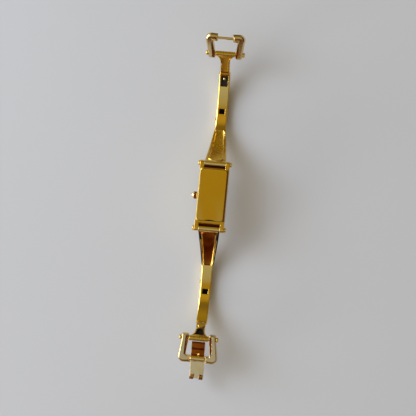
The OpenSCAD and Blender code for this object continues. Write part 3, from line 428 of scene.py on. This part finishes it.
def second_look(piece, look, chosen):
    """Gives one more look to the faces whose centre, in millimetres, passes the test."""
    piece.data.materials.append(FINISH[look])
    before = np.zeros(len(piece.data.polygons), np.int32)
    piece.data.polygons.foreach_get("material_index", before)
    spots = np.zeros(3 * len(piece.data.polygons))
    piece.data.polygons.foreach_get("center", spots)
    last = len(piece.data.materials) - 1
    passed = chosen(spots.reshape(-1, 3) * 1000)
    piece.data.polygons.foreach_set("material_index", np.where(passed, last, before).astype(np.int32))


def along_arm(at, side):
    """Each point's distance from the centre of the arm's curve, and its angle along it in degrees."""
    y, z = side * at[:, 1] - CURVE_Y, CURVE_Z - at[:, 2]
    return np.hypot(y, z), np.degrees(np.arctan2(y, z))


def on_curve(at, side, start, stop, reach, half):
    """True within half of x 0, within reach of the arm's curve, and between the angles start and stop."""
    r, deg = along_arm(at, side)
    return (deg > start) & (deg < stop) & (np.abs(r - ARM_R) < reach) & (np.abs(at[:, 0]) < half)


def on_flank(at, side):
    """True on the rounded wrist-side flanks between sleeve and case, which widen towards the case."""
    r, deg = along_arm(at, side)
    edge = arm_half(deg) - 0.4 - 0.5 * widening(deg)
    return on_curve(at, side, -HINGE_DEG, FIELD_TO, 1.32, 9) & (r < ARM_R - 0.7) & (np.abs(at[:, 0]) > edge)


for side, title, openings, field_look in ((1, "upper", [(21.7, 31.3, 3.2), (-2.3, 2.3, 2.6)], "field_gold"),
                                          (-1, "lower", [(3.5, 8.1, 2.6)], "brown_gilt")):
    arm = arm_skin(title + "_arm_skin", side)
    knuckle = rod("knuckle", KNUCKLE_R, -ARM_END_W / 2, ARM_END_W / 2, side * PIN_Y, PIN_Z, 0.15)
    carve(arm, [knuckle], "UNION")
    cutters = [rod("bore", BORE_R, -BORE_HALF, BORE_HALF, side * PIN_Y, PIN_Z, 0.1),
               curved_block("hollow", HOLLOW_W, ARM_R - HOLLOW_HALF, ARM_R + HOLLOW_HALF, HOLLOW_FROM,
                            MOUTH_DEG + 2, side)]
    cutters += [curved_block("opening", w, ARM_R - OPENING_REACH, ARM_R, a, b, side) for a, b, w in openings]
    carve(arm, cutters)
    finish_piece(arm, title + "_half", "gold", [title + "_arm"])
    # Painted light and shade on its parts: a paler knuckle as a painted highlight; deeper flanks, a dark
    # hollow, and a deeper sunk field with its walls as painted shade, darkest on the 6 o'clock arm as a
    # painted dark reflection.
    second_look(arm, "pale_gold", lambda at: np.hypot(side * at[:, 1] - PIN_Y, at[:, 2] - PIN_Z) < 1.22)
    second_look(arm, "field_gold" if side == 1 else "black_painted_shade", lambda at: on_flank(at, side))
    second_look(arm, "black_painted_shade", lambda at: on_curve(at, side, HOLLOW_FROM - 1, MOUTH_DEG, NEAR_CURVE,
                                                        SLEEVE_W / 2 - 0.3))
    second_look(arm, field_look, lambda at: on_curve(at, side, FIELD_FROM - FIELD_ARCH, FIELD_TO, NEAR_CURVE,
                                                     3.3))
    second_look(arm, field_look, lambda at: on_curve(at, side, -54, FIELD_FROM, 1.4, 3.7) & (at[:, 2] > -2.6)
                & (side * at[:, 1] > PIN_Y + 1.25))

# Sliding ends: cast and polished gold-plated brass. A tongue runs in the arm's hollow, widens to the
# T-bar and is sunk on its wrist face behind it. The T-bar is a plain round bar, drilled for the stirrup's
# end bar.
TONGUE_W, TONGUE_HALF, T_HALF, T_BAR_W, T_BAR_R, T_FLARE, RECESS_GAP = 3.9, 0.7, 1.0, 8.3, 1.15, 10.0, 2.4
SLIDE_EDGE, RECESS_DEPTH, RECESS_WALL, WALL_GROWTH, SWELL_DEG, SEAT_GAP = 0.22, 0.7, 0.65, 1.05, 2.4, 0.12
LEAF_BED_W, BUTTON_BORE_R, STEM_BORE_R, BORE_LOW, BORE_TOP = 3.2, 0.61, 0.46, -0.55, 3
CATCH_DEG, TAB_DEG, TAB_HALF, TAB_LEN, CATCH_SEAT = 28.4, 36.2, 1.45, 2.5, 0.25
# Deeper satin gold, painted shade in the 12 o'clock recess behind the T-bar
FINISH["recess_satin_painted_shade"] = polished("recess_satin_painted_shade_plate", (0.62, 0.35, 0.035, 1), (0.66, 0.40, 0.06, 1), 0.42)


def slide_end(name, side, start, bar, recess_from):
    """Rounded rectangle carried along the curve. With u going from 0 to 1 over the flare, the half width
    grows as u ** 2.4, and the thickness swells as s * s * (3 - 2 * s) early in it."""
    flare, recess_to = bar - T_FLARE, bar - RECESS_GAP
    deg = np.concatenate([np.linspace(start, recess_from, 24), [recess_from + 0.05],
                          np.linspace(recess_from + 0.5, recess_to, 30), [recess_to + 0.05],
                          np.linspace(recess_to + 0.4, bar, 10)])
    u = np.clip((deg - flare) / T_FLARE, 0, 1)
    grow = (T_BAR_W - TONGUE_W) / 2 * u ** 2.4
    half = TONGUE_W / 2 + grow
    swell = np.clip((deg - flare + SWELL_DEG / 2) / SWELL_DEG, 0, 1)
    thick = TONGUE_HALF + (T_HALF - TONGUE_HALF) * swell ** 2 * (3 - 2 * swell)
    sunk = TONGUE_W / 2 - RECESS_WALL + WALL_GROWTH * grow
    floor_r = np.maximum(ARM_R - thick, ARM_R - T_HALF + RECESS_DEPTH)
    dip = np.where((deg > recess_from) & (deg <= recess_to), floor_r - (ARM_R - thick), 0.0)
    inner = corner(-SLIDE_EDGE, SLIDE_EDGE, SLIDE_EDGE, -90, 0, 4)
    outer = corner(-SLIDE_EDGE, -SLIDE_EDGE, SLIDE_EDGE, 0, 90, 4)
    rings = []
    for d, h, t, s, drop in zip(deg, half, thick, sunk, dip):
        x = np.concatenate([[0, (s - 0.06) / 2, s - 0.06, s], h + inner[:, 0], h + outer[:, 0], [h / 2, 0]])
        r = np.concatenate([[ARM_R - t + drop] * 3 + [ARM_R - t], ARM_R - t + inner[:, 1],
                            ARM_R + t + outer[:, 1], [ARM_R + t, ARM_R + t]])
        x = np.concatenate([x, -x[-2:0:-1]])
        r = np.concatenate([r, r[-2:0:-1]])
        rings.append(on_arm(x, r, d, side))
    return skin(name, np.array(rings))


def on_end(x, along, level, deg, side):
    """Points in a flat frame on the arm's curve at deg: along the arm, and level towards the wrist."""
    t = math.radians(deg)
    y = CURVE_Y + (ARM_R - level) * math.sin(t) + along * math.cos(t)
    z = CURVE_Z - (ARM_R - level) * math.cos(t) + along * math.sin(t)
    return np.stack(np.broadcast_arrays(x, side * y, z), -1)


def tab_outline(extra=0.0):
    """Outline of the catch tab, square at the back and half round in front, larger all round by extra."""
    bow = corner(0, 0, 1, 0, 180, 18)
    half, back = TAB_HALF + extra, -TAB_LEN / 2 - extra
    front = np.stack([half * bow[:, 0], TAB_LEN / 2 - 1 + (1 + extra) * bow[:, 1]], -1)
    return np.concatenate([[[-half, back], [half, back]], front])


def curve_peg(name, r, low, high, deg, side):
    """Round peg that stands on the arm's curve: a circle at each of two levels of the flat frame there."""
    a = np.linspace(0, 2 * np.pi, 40, endpoint=False)
    rings = [on_end(r * np.cos(a), r * np.sin(a), level, deg, side) for level in (low, high)]
    return skin(name, np.array(rings))


for side, title, start, bar, recess_from, look in ((1, "upper", 4.5, 52.0, 35.0, "recess_satin_painted_shade"),
                                                   (-1, "lower", 9.5, 50.0, 39.4, "black_painted_shade")):
    end = slide_end(title + "_slide_end", side, start, bar, recess_from)
    _, bar_y, bar_z = on_arm(0.0, ARM_R, bar, side)
    carve(end, [rod("bar", T_BAR_R, -T_BAR_W / 2, T_BAR_W / 2, bar_y, bar_z, 0.2)], "UNION")
    cutters = [rod("bore", BORE_R, -BORE_HALF, BORE_HALF, bar_y, bar_z, 0.1)]
    if side == 1:
        cutters += [curved_block("leaf_bed", LEAF_BED_W, ARM_R - 2, ARM_R - CATCH_SEAT, 20, 31.5, 1),
                    curve_peg("button_bore", BUTTON_BORE_R, BORE_LOW, BORE_TOP, CATCH_DEG, 1)]
    else:
        seat = [on_end(*tab_outline(SEAT_GAP).T, level, TAB_DEG, -1) for level in (CATCH_SEAT, BORE_TOP)]
        cutters += [curve_peg("stem_bore", STEM_BORE_R, BORE_LOW, BORE_TOP, TAB_DEG, -1),
                    skin("tab_seat", np.array(seat))]
    carve(end, cutters)
    finish_piece(end, title + "_slide", "gold", [title + "_slider"])
    # Painted shade: the T-bar in deeper gold, and the recess behind it deeper still, black at 6 o'clock
    second_look(end, "field_gold", lambda at: on_curve(at, side, bar - 2.3, bar + 3, 1.3, T_BAR_W))
    second_look(end, look,
                lambda at: on_curve(at, side, recess_from, bar - RECESS_GAP + 0.1, 0.49, T_BAR_W / 2))

# Stirrups at the two ends: each has two cast side links with an ear on the end bar, a splayed limb and a
# foot. A thin polished cross bar is pressed into the feet, and the links turn on the T-bar with the end
# bar. The same kind of bar, closed by a screw, hinges each arm on the case.
BAR_DEG, TILT = {1: 52.0, -1: 50.0}, {1: -50.0, -1: 15.0}
STIRRUP_LEN, LINK_T, LINK_HALF, EAR_IN, EAR_REACH, EAR_ROUND = 8.9, 2.4, 7.3, 4.25, 1.95, 0.8
FOOT_IN, FOOT_OUT, FOOT_HALF_GAP, FOOT_ROUND = 7.58, 10.88, 3.25, 0.7
LINK_CORNER, LINK_ROUND, LINK_SPLAY, LINK_BEVEL = 2.6, 0.42, 1.25, 0.56
GROOVE_HALF, GROOVE_NARROW, GROOVE_DEPTH, GROOVE_WALL, GROOVE_SPLAY = 0.56, 0.3, 0.55, 0.32, 1.0
HEAD_R, HEAD_LEN, HEAD_ROUND, SLOT_HALF, SLOT_DEPTH = 1.05, 0.95, 0.28, 0.16, 0.45
SHAFT_R, SCREW_R, CROSS_R, CROSS_HALF, HEAD_GAP = 0.6, 0.32, 0.6, 5.05, 0.06
END_SHAFT, END_SCREW, CASE_SHAFT, CASE_SCREW, CASE_HEAD = 7.25, 4.9, 6.2, 3.85, 6.25
INNER_INSET, EAR_INSET, LIMB_INSET, FOOT_INSET = 0.42, 0.62, 0.75, 1.5
# Paler gold on the links, painted reflection of the pale room on their faces
FINISH["links_paler_painted_reflection"] = polished("links_paler_painted_reflection_plate", (0.72, 0.55, 0.24, 1), (0.78, 0.61, 0.31, 1), 0.12)


def on_stirrup(u, v, w, side):
    """Points in a stirrup's own frame: u across, v out from the T-bar, w up, turned down by its tilt."""
    u, v, w = np.broadcast_arrays(u, v, w)
    t, bar = math.radians(TILT[side]), math.radians(BAR_DEG[side])
    y = CURVE_Y + ARM_R * math.sin(bar) + v * math.cos(t) + w * math.sin(t)
    z = CURVE_Z - ARM_R * math.cos(bar) - v * math.sin(t) + w * math.cos(t)
    return np.stack([u, side * y, z], -1)


def inset(outline, d):
    """Outline moved inwards: each point goes d along the mitre of its two edges' outward normals."""
    after = np.roll(outline, -1, 0) - outline
    normal = np.stack([after[:, 1], -after[:, 0]], -1) / np.linalg.norm(after, axis=1)[:, None]
    before = np.roll(normal, 1, 0)
    return outline - d * (normal + before) / (1 + (normal * before).sum(1))[:, None]


def rounded_slab(name, outline, low, high, rounding, place, steps=5, top=None, drop=None, bevel=None):
    """Slab of an outline with quarter-round edges: inset r (1 - cos a) at height r sin a. On the upper edge
    top gives each point's inset and drop the height of the round; bevel cuts the lower edge straight."""
    a = np.linspace(0, np.pi / 2, steps + 1)
    top = np.full((len(outline), 1), rounding) if top is None else top[:, None]
    drop = rounding if drop is None else drop
    up = [(top * (1 - np.cos(t)), high - drop + drop * np.sin(t)) for t in a]
    down = [(rounding * (1 - np.cos(t)), low + rounding - rounding * np.sin(t)) for t in a[::-1]]
    if bevel:
        down = [(bevel, low), (0.0, low + bevel)]
    rings = [place(inset(outline, d), h) for d, h in down + up]
    return skin(name, np.array(rings))


def link_outline():
    """Right link from above, anticlockwise: ear, splayed limb, round corner, foot and inner edge; and the
    inset of each point's upper edge, which grows from the limb to the foot."""
    slope = LINK_SPLAY / STIRRUP_LEN
    cx = LINK_HALF - LINK_CORNER * math.hypot(1, slope) + slope * (FOOT_OUT - LINK_CORNER)
    inner = EAR_IN + 0.8 * slope * FOOT_IN
    ear = np.concatenate([corner(EAR_IN + EAR_ROUND, EAR_ROUND - EAR_REACH, EAR_ROUND, 180, 270, 6),
                          corner(LINK_HALF - EAR_ROUND, EAR_ROUND - EAR_REACH, EAR_ROUND, 270, 360, 6),
                          [[LINK_HALF, 0]]])
    bend = corner(cx, FOOT_OUT - LINK_CORNER, LINK_CORNER, -math.degrees(math.atan(slope)), 90, 20)
    foot = [[FOOT_HALF_GAP, FOOT_OUT - 0.15], [FOOT_HALF_GAP, FOOT_IN]]
    hollow = corner(inner - FOOT_ROUND, FOOT_IN - FOOT_ROUND, FOOT_ROUND, 90, 5, 5)
    outline = np.concatenate([ear, bend, foot, hollow, [[EAR_IN, 0]]])
    top = np.full(len(outline), INNER_INSET)
    first = len(ear)
    top[7:first] = EAR_INSET
    top[first:first + len(bend) + 1] = np.linspace(LIMB_INSET, FOOT_INSET, len(bend) + 1)
    return outline, top


def link_groove(hand, side):
    """Cutter for the groove of a link's wrist face: half ellipses along the splay, wide at the ear and
    narrow at the foot. Its two ends are rounded off as a quarter circle."""
    low, high = 0.65 - EAR_REACH, FOOT_IN - 0.3
    share = (1 - np.cos(np.linspace(0.06, np.pi - 0.06, 26))) / 2
    v = low + (high - low) * share
    half = GROOVE_HALF + (GROOVE_NARROW - GROOVE_HALF) * share
    ends = np.sqrt(1 - np.clip(1 - np.minimum(v - low, high - v) / 0.6, 0, 1) ** 2)
    middle = EAR_IN + GROOVE_WALL + half + GROOVE_SPLAY / STIRRUP_LEN * v
    a = np.linspace(np.pi, 2 * np.pi, 11)
    u = middle[:, None] + (half * ends)[:, None] * np.append(np.cos(a), [1, -1])
    w = LINK_T / 2 + np.concatenate([GROOVE_DEPTH * ends[:, None] * np.sin(a), np.full((len(v), 2), 0.7)], 1)
    return skin("groove", on_stirrup(hand * u, v[:, None], w, side))


def in_groove(at, hand, side):
    """True for face centres in a link's groove: under the wrist face and clear of the link's edges."""
    t, bar = math.radians(TILT[side]), math.radians(BAR_DEG[side])
    y = side * at[:, 1] - CURVE_Y - ARM_R * math.sin(bar)
    z = at[:, 2] - CURVE_Z + ARM_R * math.cos(bar)
    v, w = y * math.cos(t) - z * math.sin(t), y * math.sin(t) + z * math.cos(t)
    u = hand * at[:, 0] - EAR_IN - v / STIRRUP_LEN
    sunk, along = (w < LINK_T / 2 - 0.02) & (w > 0.4), (v < FOOT_IN - 0.3) & (v > 0.6 - EAR_REACH)
    return sunk & along & (u > GROOVE_WALL) & (u < 1.8)


def slotted(name, shaft_r, shaft_end, head_from, y, z, tilt, sign):
    """Round shaft with a round-edged head on one end, and a driver slot across the head."""
    low, high = sorted((sign * head_from, sign * (head_from + HEAD_LEN)))
    head = rod(name, HEAD_R, low, high, y, z, HEAD_ROUND)
    a, b = sorted((sign * shaft_end, sign * (head_from + 0.2)))
    carve(head, [rod("shaft", shaft_r, a, b, y, z, 0.05)], "UNION")
    u = np.array([-SLOT_HALF, SLOT_HALF, SLOT_HALF, -SLOT_HALF])
    w = np.array([-3.0, -3.0, 3.0, 3.0])
    c, s = math.cos(tilt), math.sin(tilt)
    rings = [np.stack([np.full(4, x), y + u * c + w * s, z - u * s + w * c], -1)
             for x in (sign * (head_from + HEAD_LEN - SLOT_DEPTH), sign * (head_from + 2))]
    return carve(head, [skin("slot", np.array(rings))])


for side, title in ((1, "upper"), (-1, "lower")):
    body = title + "_stirrup"
    _, end_y, end_z = on_stirrup(0.0, 0.0, 0.0, side)
    for hand, word in ((-1, "left"), (1, "right")):
        outline, top = link_outline()
        limb = rounded_slab(f"{title}_{word}_limb", outline, -LINK_T / 2, LINK_T / 2, LINK_ROUND,
                            lambda p, h: on_stirrup(hand * p[:, 0], p[:, 1], h, side), 8, top, 1.0,
                            LINK_BEVEL)
        a, b = sorted((hand * LINK_HALF, hand * 2 * LINK_HALF))
        carve(limb, [link_groove(hand, side), rod("head_seat", HEAD_R + HEAD_GAP, a, b, end_y, end_z, 0.02)])
        # Links in paler gold, a painted reflection, and their grooves in painted shade
        finish_piece(limb, body, "gold", [f"{title}_{word}_link"], 38, "links_paler_painted_reflection")
        second_look(limb, "brown_gilt", lambda at: in_groove(at, hand, side))
    _, y, z = on_stirrup(0.0, STIRRUP_LEN, 0.0, side)
    bar = rod(title + "_thin_bar", CROSS_R, -CROSS_HALF, CROSS_HALF, y, z, 0.1)
    finish_piece(bar, body, "pale_gold", [title + "_cross_bar"])
    tilt = -side * math.radians(TILT[side])
    piece = slotted(title + "_end_shaft", SHAFT_R, -END_SHAFT, LINK_HALF, end_y, end_z, tilt, -1)
    finish_piece(piece, body, "gold", [title + "_end_bar"])
    piece = slotted(title + "_end_cap", SCREW_R, END_SCREW, LINK_HALF, end_y, end_z, tilt, 1)
    finish_piece(piece, body, "gold", [title + "_end_screw"])
    piece = slotted(title + "_hinge_shaft", SHAFT_R, -CASE_SHAFT, CASE_HEAD, side * PIN_Y, PIN_Z, 0, -1)
    finish_piece(piece, "case", "gold", [title + "_case_bar"])
    piece = slotted(title + "_hinge_cap", SCREW_R, CASE_SCREW, CASE_HEAD, side * PIN_Y, PIN_Z, 0, 1)
    finish_piece(piece, "case", "gold", [title + "_case_screw"])

# Latch on the 6 o'clock cross bar: a formed plate of pale gold-plated brass with two hook fingers and a
# heel, and a wavy leaf spring riveted on the heel that snaps the plate in line.
LATCH_HALF, LATCH_LOW, LATCH_T, LATCH_REACH, LATCH_TAPER = 3.1, -1.35, 0.7, 9.0, 0.3
HOOK_H, HOOK_T, HOOK_TIP, HOOK_BEND, BEAK_ROUND, LATCH_KNUCKLE_R = 1.9, 0.9, 0.35, 0.7, 0.2, 1.35
HEEL_HALF, HEEL_BACK, HEEL_LOW, HEEL_TOP, FINGER_GAP_R = 2.25, -2.5, -0.85, -0.25, 1.2
TAIL_HALF, TAIL_LEN, TAIL_T, TAIL_ROUND, TAIL_FROM, TAIL_WAVE = 2.85, 7.3, 0.45, 0.2, -1.37, 0.22
RIVET_R, RIVET_V = 0.5, -2.0


def on_latch(u, v, w):
    """Points in the latch's frame, which has its origin on the cross bar; it narrows towards the hook."""
    share = np.clip((v - LATCH_KNUCKLE_R) / (LATCH_REACH - 0.35), 0, 1)
    return on_stirrup(u * (1 - share * LATCH_TAPER / LATCH_HALF), STIRRUP_LEN + v, w, -1)


top = LATCH_LOW + LATCH_T
tip = top + HOOK_H
hook = LATCH_REACH - HOOK_T
# Side view of the plate: its low face, the bend up into the hook, the tip with its beak, and the top face
profile = np.concatenate([
    [[0, LATCH_LOW]], corner(LATCH_REACH - HOOK_BEND, LATCH_LOW + HOOK_BEND, HOOK_BEND, -90, 0, 8),
    corner(LATCH_REACH - HOOK_TIP, tip - HOOK_TIP, HOOK_TIP, 0, 90, 5),
    corner(LATCH_REACH - 1.3, tip - BEAK_ROUND, BEAK_ROUND, 90, 180, 3), [[LATCH_REACH - 1.5, tip - 0.5]],
    corner(hook, tip - 0.7, BEAK_ROUND, 90, 0, 3),
    corner(hook, top + BEAK_ROUND, BEAK_ROUND, 0, -90, 3), [[0, top]]])
plate = rounded_slab("latch_plate", profile, -LATCH_HALF, LATCH_HALF, 0.12,
                     lambda p, h: on_latch(np.full(len(p), h), p[:, 0], p[:, 1]), 3)
_, y, z = on_stirrup(0.0, STIRRUP_LEN, 0.0, -1)
knuckle = rod("knuckle", LATCH_KNUCKLE_R, -LATCH_HALF, LATCH_HALF, y, z, 0.2)
heel_outline = np.array([[-HEEL_HALF, HEEL_BACK], [HEEL_HALF, HEEL_BACK],
                         [HEEL_HALF, 0.2], [-HEEL_HALF, 0.2]])
heel = rounded_slab("heel", heel_outline, HEEL_LOW, HEEL_TOP, 0.1,
                    lambda p, h: on_latch(p[:, 0], p[:, 1], h), 2)
carve(plate, [knuckle, heel], "UNION")
# Rounded notch between the two fingers
tongue = corner(0, LATCH_REACH - 1.5, FINGER_GAP_R, 0, -180, 20)
past_tip = [[-FINGER_GAP_R, LATCH_REACH + 1.5], [FINGER_GAP_R, LATCH_REACH + 1.5]]
notch = np.concatenate([past_tip, tongue])[::-1]
rings = [on_stirrup(notch[:, 0], STIRRUP_LEN + notch[:, 1], h, -1) for h in (top, 3.0)]
carve(plate, [skin("notch", np.array(rings)), rod("bore", BORE_R, -4, 4, y, z, 0.1)])
finish_piece(plate, "clasp", "pale_gold", ["latch"])
# Painted shade on the upper part of the hook
y, z = on_stirrup(0.0, STIRRUP_LEN + LATCH_REACH - 1.0, 0.0, -1)[1:]
second_look(plate, "brown_gilt", lambda at: (at[:, 1] < y) & (at[:, 2] > z + top * 0.6))


def round_rect(width, length, r, cy=0.0, steps=8):
    """Outline of a rectangle with round corners, anticlockwise, centred on (0, cy)."""
    x, y = width / 2 - r, length / 2 - r
    return np.concatenate([corner(x, cy + y, r, 0, 90, steps), corner(-x, cy + y, r, 90, 180, steps),
                           corner(-x, cy - y, r, 180, 270, steps), corner(x, cy - y, r, 270, 360, steps)])


def wavy_tail():
    """Rounded strip carried behind the knuckle along a sine wave of two periods, square to the wave."""
    s = np.linspace(0, 1, 49)
    v = TAIL_FROM - (TAIL_LEN + TAIL_FROM) * s
    w = TAIL_WAVE * np.sin(4 * np.pi * s)
    dv, dw = np.gradient(v), np.gradient(w)
    size = np.hypot(dv, dw)
    nv, nw = -dw / size, dv / size
    u, t = round_rect(2 * TAIL_HALF, TAIL_T, TAIL_ROUND, 0.0, 4).T
    v, w = STIRRUP_LEN + v[:, None] + nv[:, None] * t, w[:, None] + nw[:, None] * t
    return skin("wavy_tail", on_stirrup(u[None], v, w, -1))


# The spring in dark brown gilt, painted shade
finish_piece(wavy_tail(), "clasp", "pale_gold", ["latch_tail"], look="brown_gilt")


def turned(name, profile, place, steps=32):
    """Surface of revolution: a profile of radius and height carried round its axis, then put in place."""
    a = np.linspace(0, 2 * np.pi, steps, endpoint=False)
    return skin(name, np.array([place(r * np.cos(a), r * np.sin(a), h) for r, h in profile]))


dome = [(0.35, -0.85), (0.35, 0.42), (RIVET_R, 0.45), (RIVET_R, 0.5)]
dome += [(RIVET_R * math.cos(t), 0.5 + 0.28 * math.sin(t)) for t in np.linspace(0.2, 1.5, 7)]
rivet = turned("rivet_head", dome, lambda x, y, h: on_stirrup(x + 0.5, STIRRUP_LEN + RIVET_V + y, h, -1))
finish_piece(rivet, "clasp", "gold", ["latch_rivet"], 50)

# Catches: a round button lifted by a blackened leaf spring in the 12 o'clock slot, and a rounded tab with
# two small holes at the mouth of the 6 o'clock arm. The button is turned and the tab stamped from brass,
# both plated pale.
BUTTON_R, BUTTON_H, STEM_R, HOLE_R, TAB_LOW, TAB_TOP = 0.55, 1.0, 0.4, 0.2, 0.75, 1.25
button = [(BUTTON_R, -0.1), (BUTTON_R, BUTTON_H)]
button += [(BUTTON_R * math.cos(t), BUTTON_H + 0.3 * math.sin(t)) for t in np.linspace(0.15, 1.5, 8)]
finish_piece(turned("catch_button", button, lambda x, y, h: on_end(x, y, h, CATCH_DEG, 1)), "upper_catch",
             "pale_gold", ["upper_catch_button"], 50)
tab = rounded_slab("catch_tab", tab_outline(), TAB_LOW, TAB_TOP, 0.14,
                   lambda p, h: on_end(p[:, 0], p[:, 1], h, TAB_DEG, -1), 3)
carve(tab, [turned("hole", [(HOLE_R, 0.3), (HOLE_R, 2.0)],
                   lambda x, y, h: on_end(x + s * 0.7, y - 0.75, h, TAB_DEG, -1), 20) for s in (-1, 1)])
carve(tab, [curve_peg("stem", STEM_R, -0.1, 0.9, TAB_DEG, -1)], "UNION")
finish_piece(tab, "lower_catch", "pale_gold", ["lower_catch_tab"])

# Crown: turned brass barrel with fine flutes and a domed cap, gold plated. Its cap is paler, a painted
# highlight, and its barrel by the case is dark brown, painted shade. It is screwed on the stem that
# sets the hands.
CROWN_R, CROWN_LEN, CROWN_CAP, CROWN_Z, CROWN_X, FLUTES, FLUTE_DEPTH = 1.55, 1.6, 0.85, -3.0, -6.5, 22, 0.16
a = np.linspace(0, 2 * np.pi, FLUTES * 8, endpoint=False)
# Distance from the case, radius, and 1 where the flutes are cut
stations = [(0.0, 0.55, 0), (0.0, 1.35, 0), (0.1, 1.47, 0), (0.22, CROWN_R, 1),
            (CROWN_LEN - 0.25, CROWN_R, 1), (CROWN_LEN - 0.1, 1.42, 0), (CROWN_LEN, 1.2, 0)]
stations += [(CROWN_LEN + CROWN_CAP * math.sin(t), 1.16 * math.cos(t), 0)
             for t in np.linspace(0.08, 1.52, 10)]
rings = []
for s, r, cut in stations:
    radius = r - cut * FLUTE_DEPTH * np.clip(0.5 - 0.9 * np.cos(FLUTES * a), 0, 1)
    x = np.full(len(a), CROWN_X - s)
    rings.append(np.stack([x, radius * np.cos(a), CROWN_Z + radius * np.sin(a)], -1))
# Paler gold cap, a painted highlight, and painted shade on the barrel by the case
crown = finish_piece(skin("fluted_crown", np.array(rings)), "winder", "gold", ["crown"], 40, "pale_gold")
second_look(crown, "brown_gilt", lambda at: (at[:, 0] > CROWN_X - 1.3) & (at[:, 0] < CROWN_X - 0.2))

# Case back: stamped gold-plated plate with a softly rounded rim, bare outside. It is pressed in by a lip, and
# a shallow notch in its 6 o'clock edge lets a blade lever it off.
BACK_W, BACK_RIM_W, BACK_LEN, BACK_CORNER, BACK_Y = 10.2, 11.4, 22.2, 1.5, 0.45
LIP_W, LIP_LEN, LIP_WALL = 8.96, 20.36, 0.6
BACK_LOW, BACK_TOP, FLANGE_LOW, LIP_LOW, FLANGE_INSET, FLANGE_DROP = -0.9, -0.15, -0.24, -1.7, 0.3, 0.14
NOTCH_W, NOTCH_SAG, BACK_EDGE = 5.6, 0.55, -10.65


def flat(p, h):
    """An outline at a height."""
    return np.stack([p[:, 0], p[:, 1], np.full(len(p), h)], -1)


raised = round_rect(BACK_W, BACK_LEN, BACK_CORNER, BACK_Y)
cover = rounded_slab("back_cover", raised, BACK_LOW, BACK_TOP, 0.1, flat, 2)
rim = round_rect(BACK_RIM_W, BACK_LEN, BACK_CORNER, BACK_Y)
flange = rounded_slab("flange", rim, FLANGE_LOW, 0.0, 0.1, flat, 4, np.full(len(rim), FLANGE_INSET),
                      FLANGE_DROP)
carve(cover, [flange], "UNION")
room = round_rect(LIP_W - 2 * LIP_WALL, LIP_LEN - 2 * LIP_WALL, 0.4)
lip = carve(rounded_slab("lip", round_rect(LIP_W, LIP_LEN, 0.6), LIP_LOW, BACK_LOW + 0.1, 0.05, flat, 2),
            [rounded_slab("lip_room", room, LIP_LOW - 0.3, BACK_LOW, 0.05, flat, 2)])
carve(cover, [lip], "UNION")
# The notch is an arc of a circle, over the case's own lever notch
arc_r = (NOTCH_W ** 2 / 4 + NOTCH_SAG ** 2) / (2 * NOTCH_SAG)
spread = math.degrees(math.asin(NOTCH_W / 2 / arc_r))
arc = corner(0, BACK_EDGE + NOTCH_SAG - arc_r, arc_r, 90 - spread, 90 + spread, 24)
notch = np.concatenate([arc, [[-NOTCH_W / 2, BACK_EDGE - 1], [NOTCH_W / 2, BACK_EDGE - 1]]])
carve(cover, [skin("pry_notch", np.array([flat(notch, -0.45), flat(notch, 1.0)]))])
finish_piece(cover, "case", "gold", ["case_back"])
# Painted shade: a dark line round the rim, and dark walls in the notch
second_look(cover, "black_painted_shade", lambda at: (at[:, 2] > -0.2) & (at[:, 2] < -0.01))
second_look(cover, "black_painted_shade", lambda at: (np.abs(at[:, 0]) < NOTCH_W / 2) & (at[:, 2] > -0.5)
            & (at[:, 2] < -0.01) & (at[:, 1] > BACK_EDGE + 0.02) & (at[:, 1] < BACK_EDGE + NOTCH_SAG + 0.02))
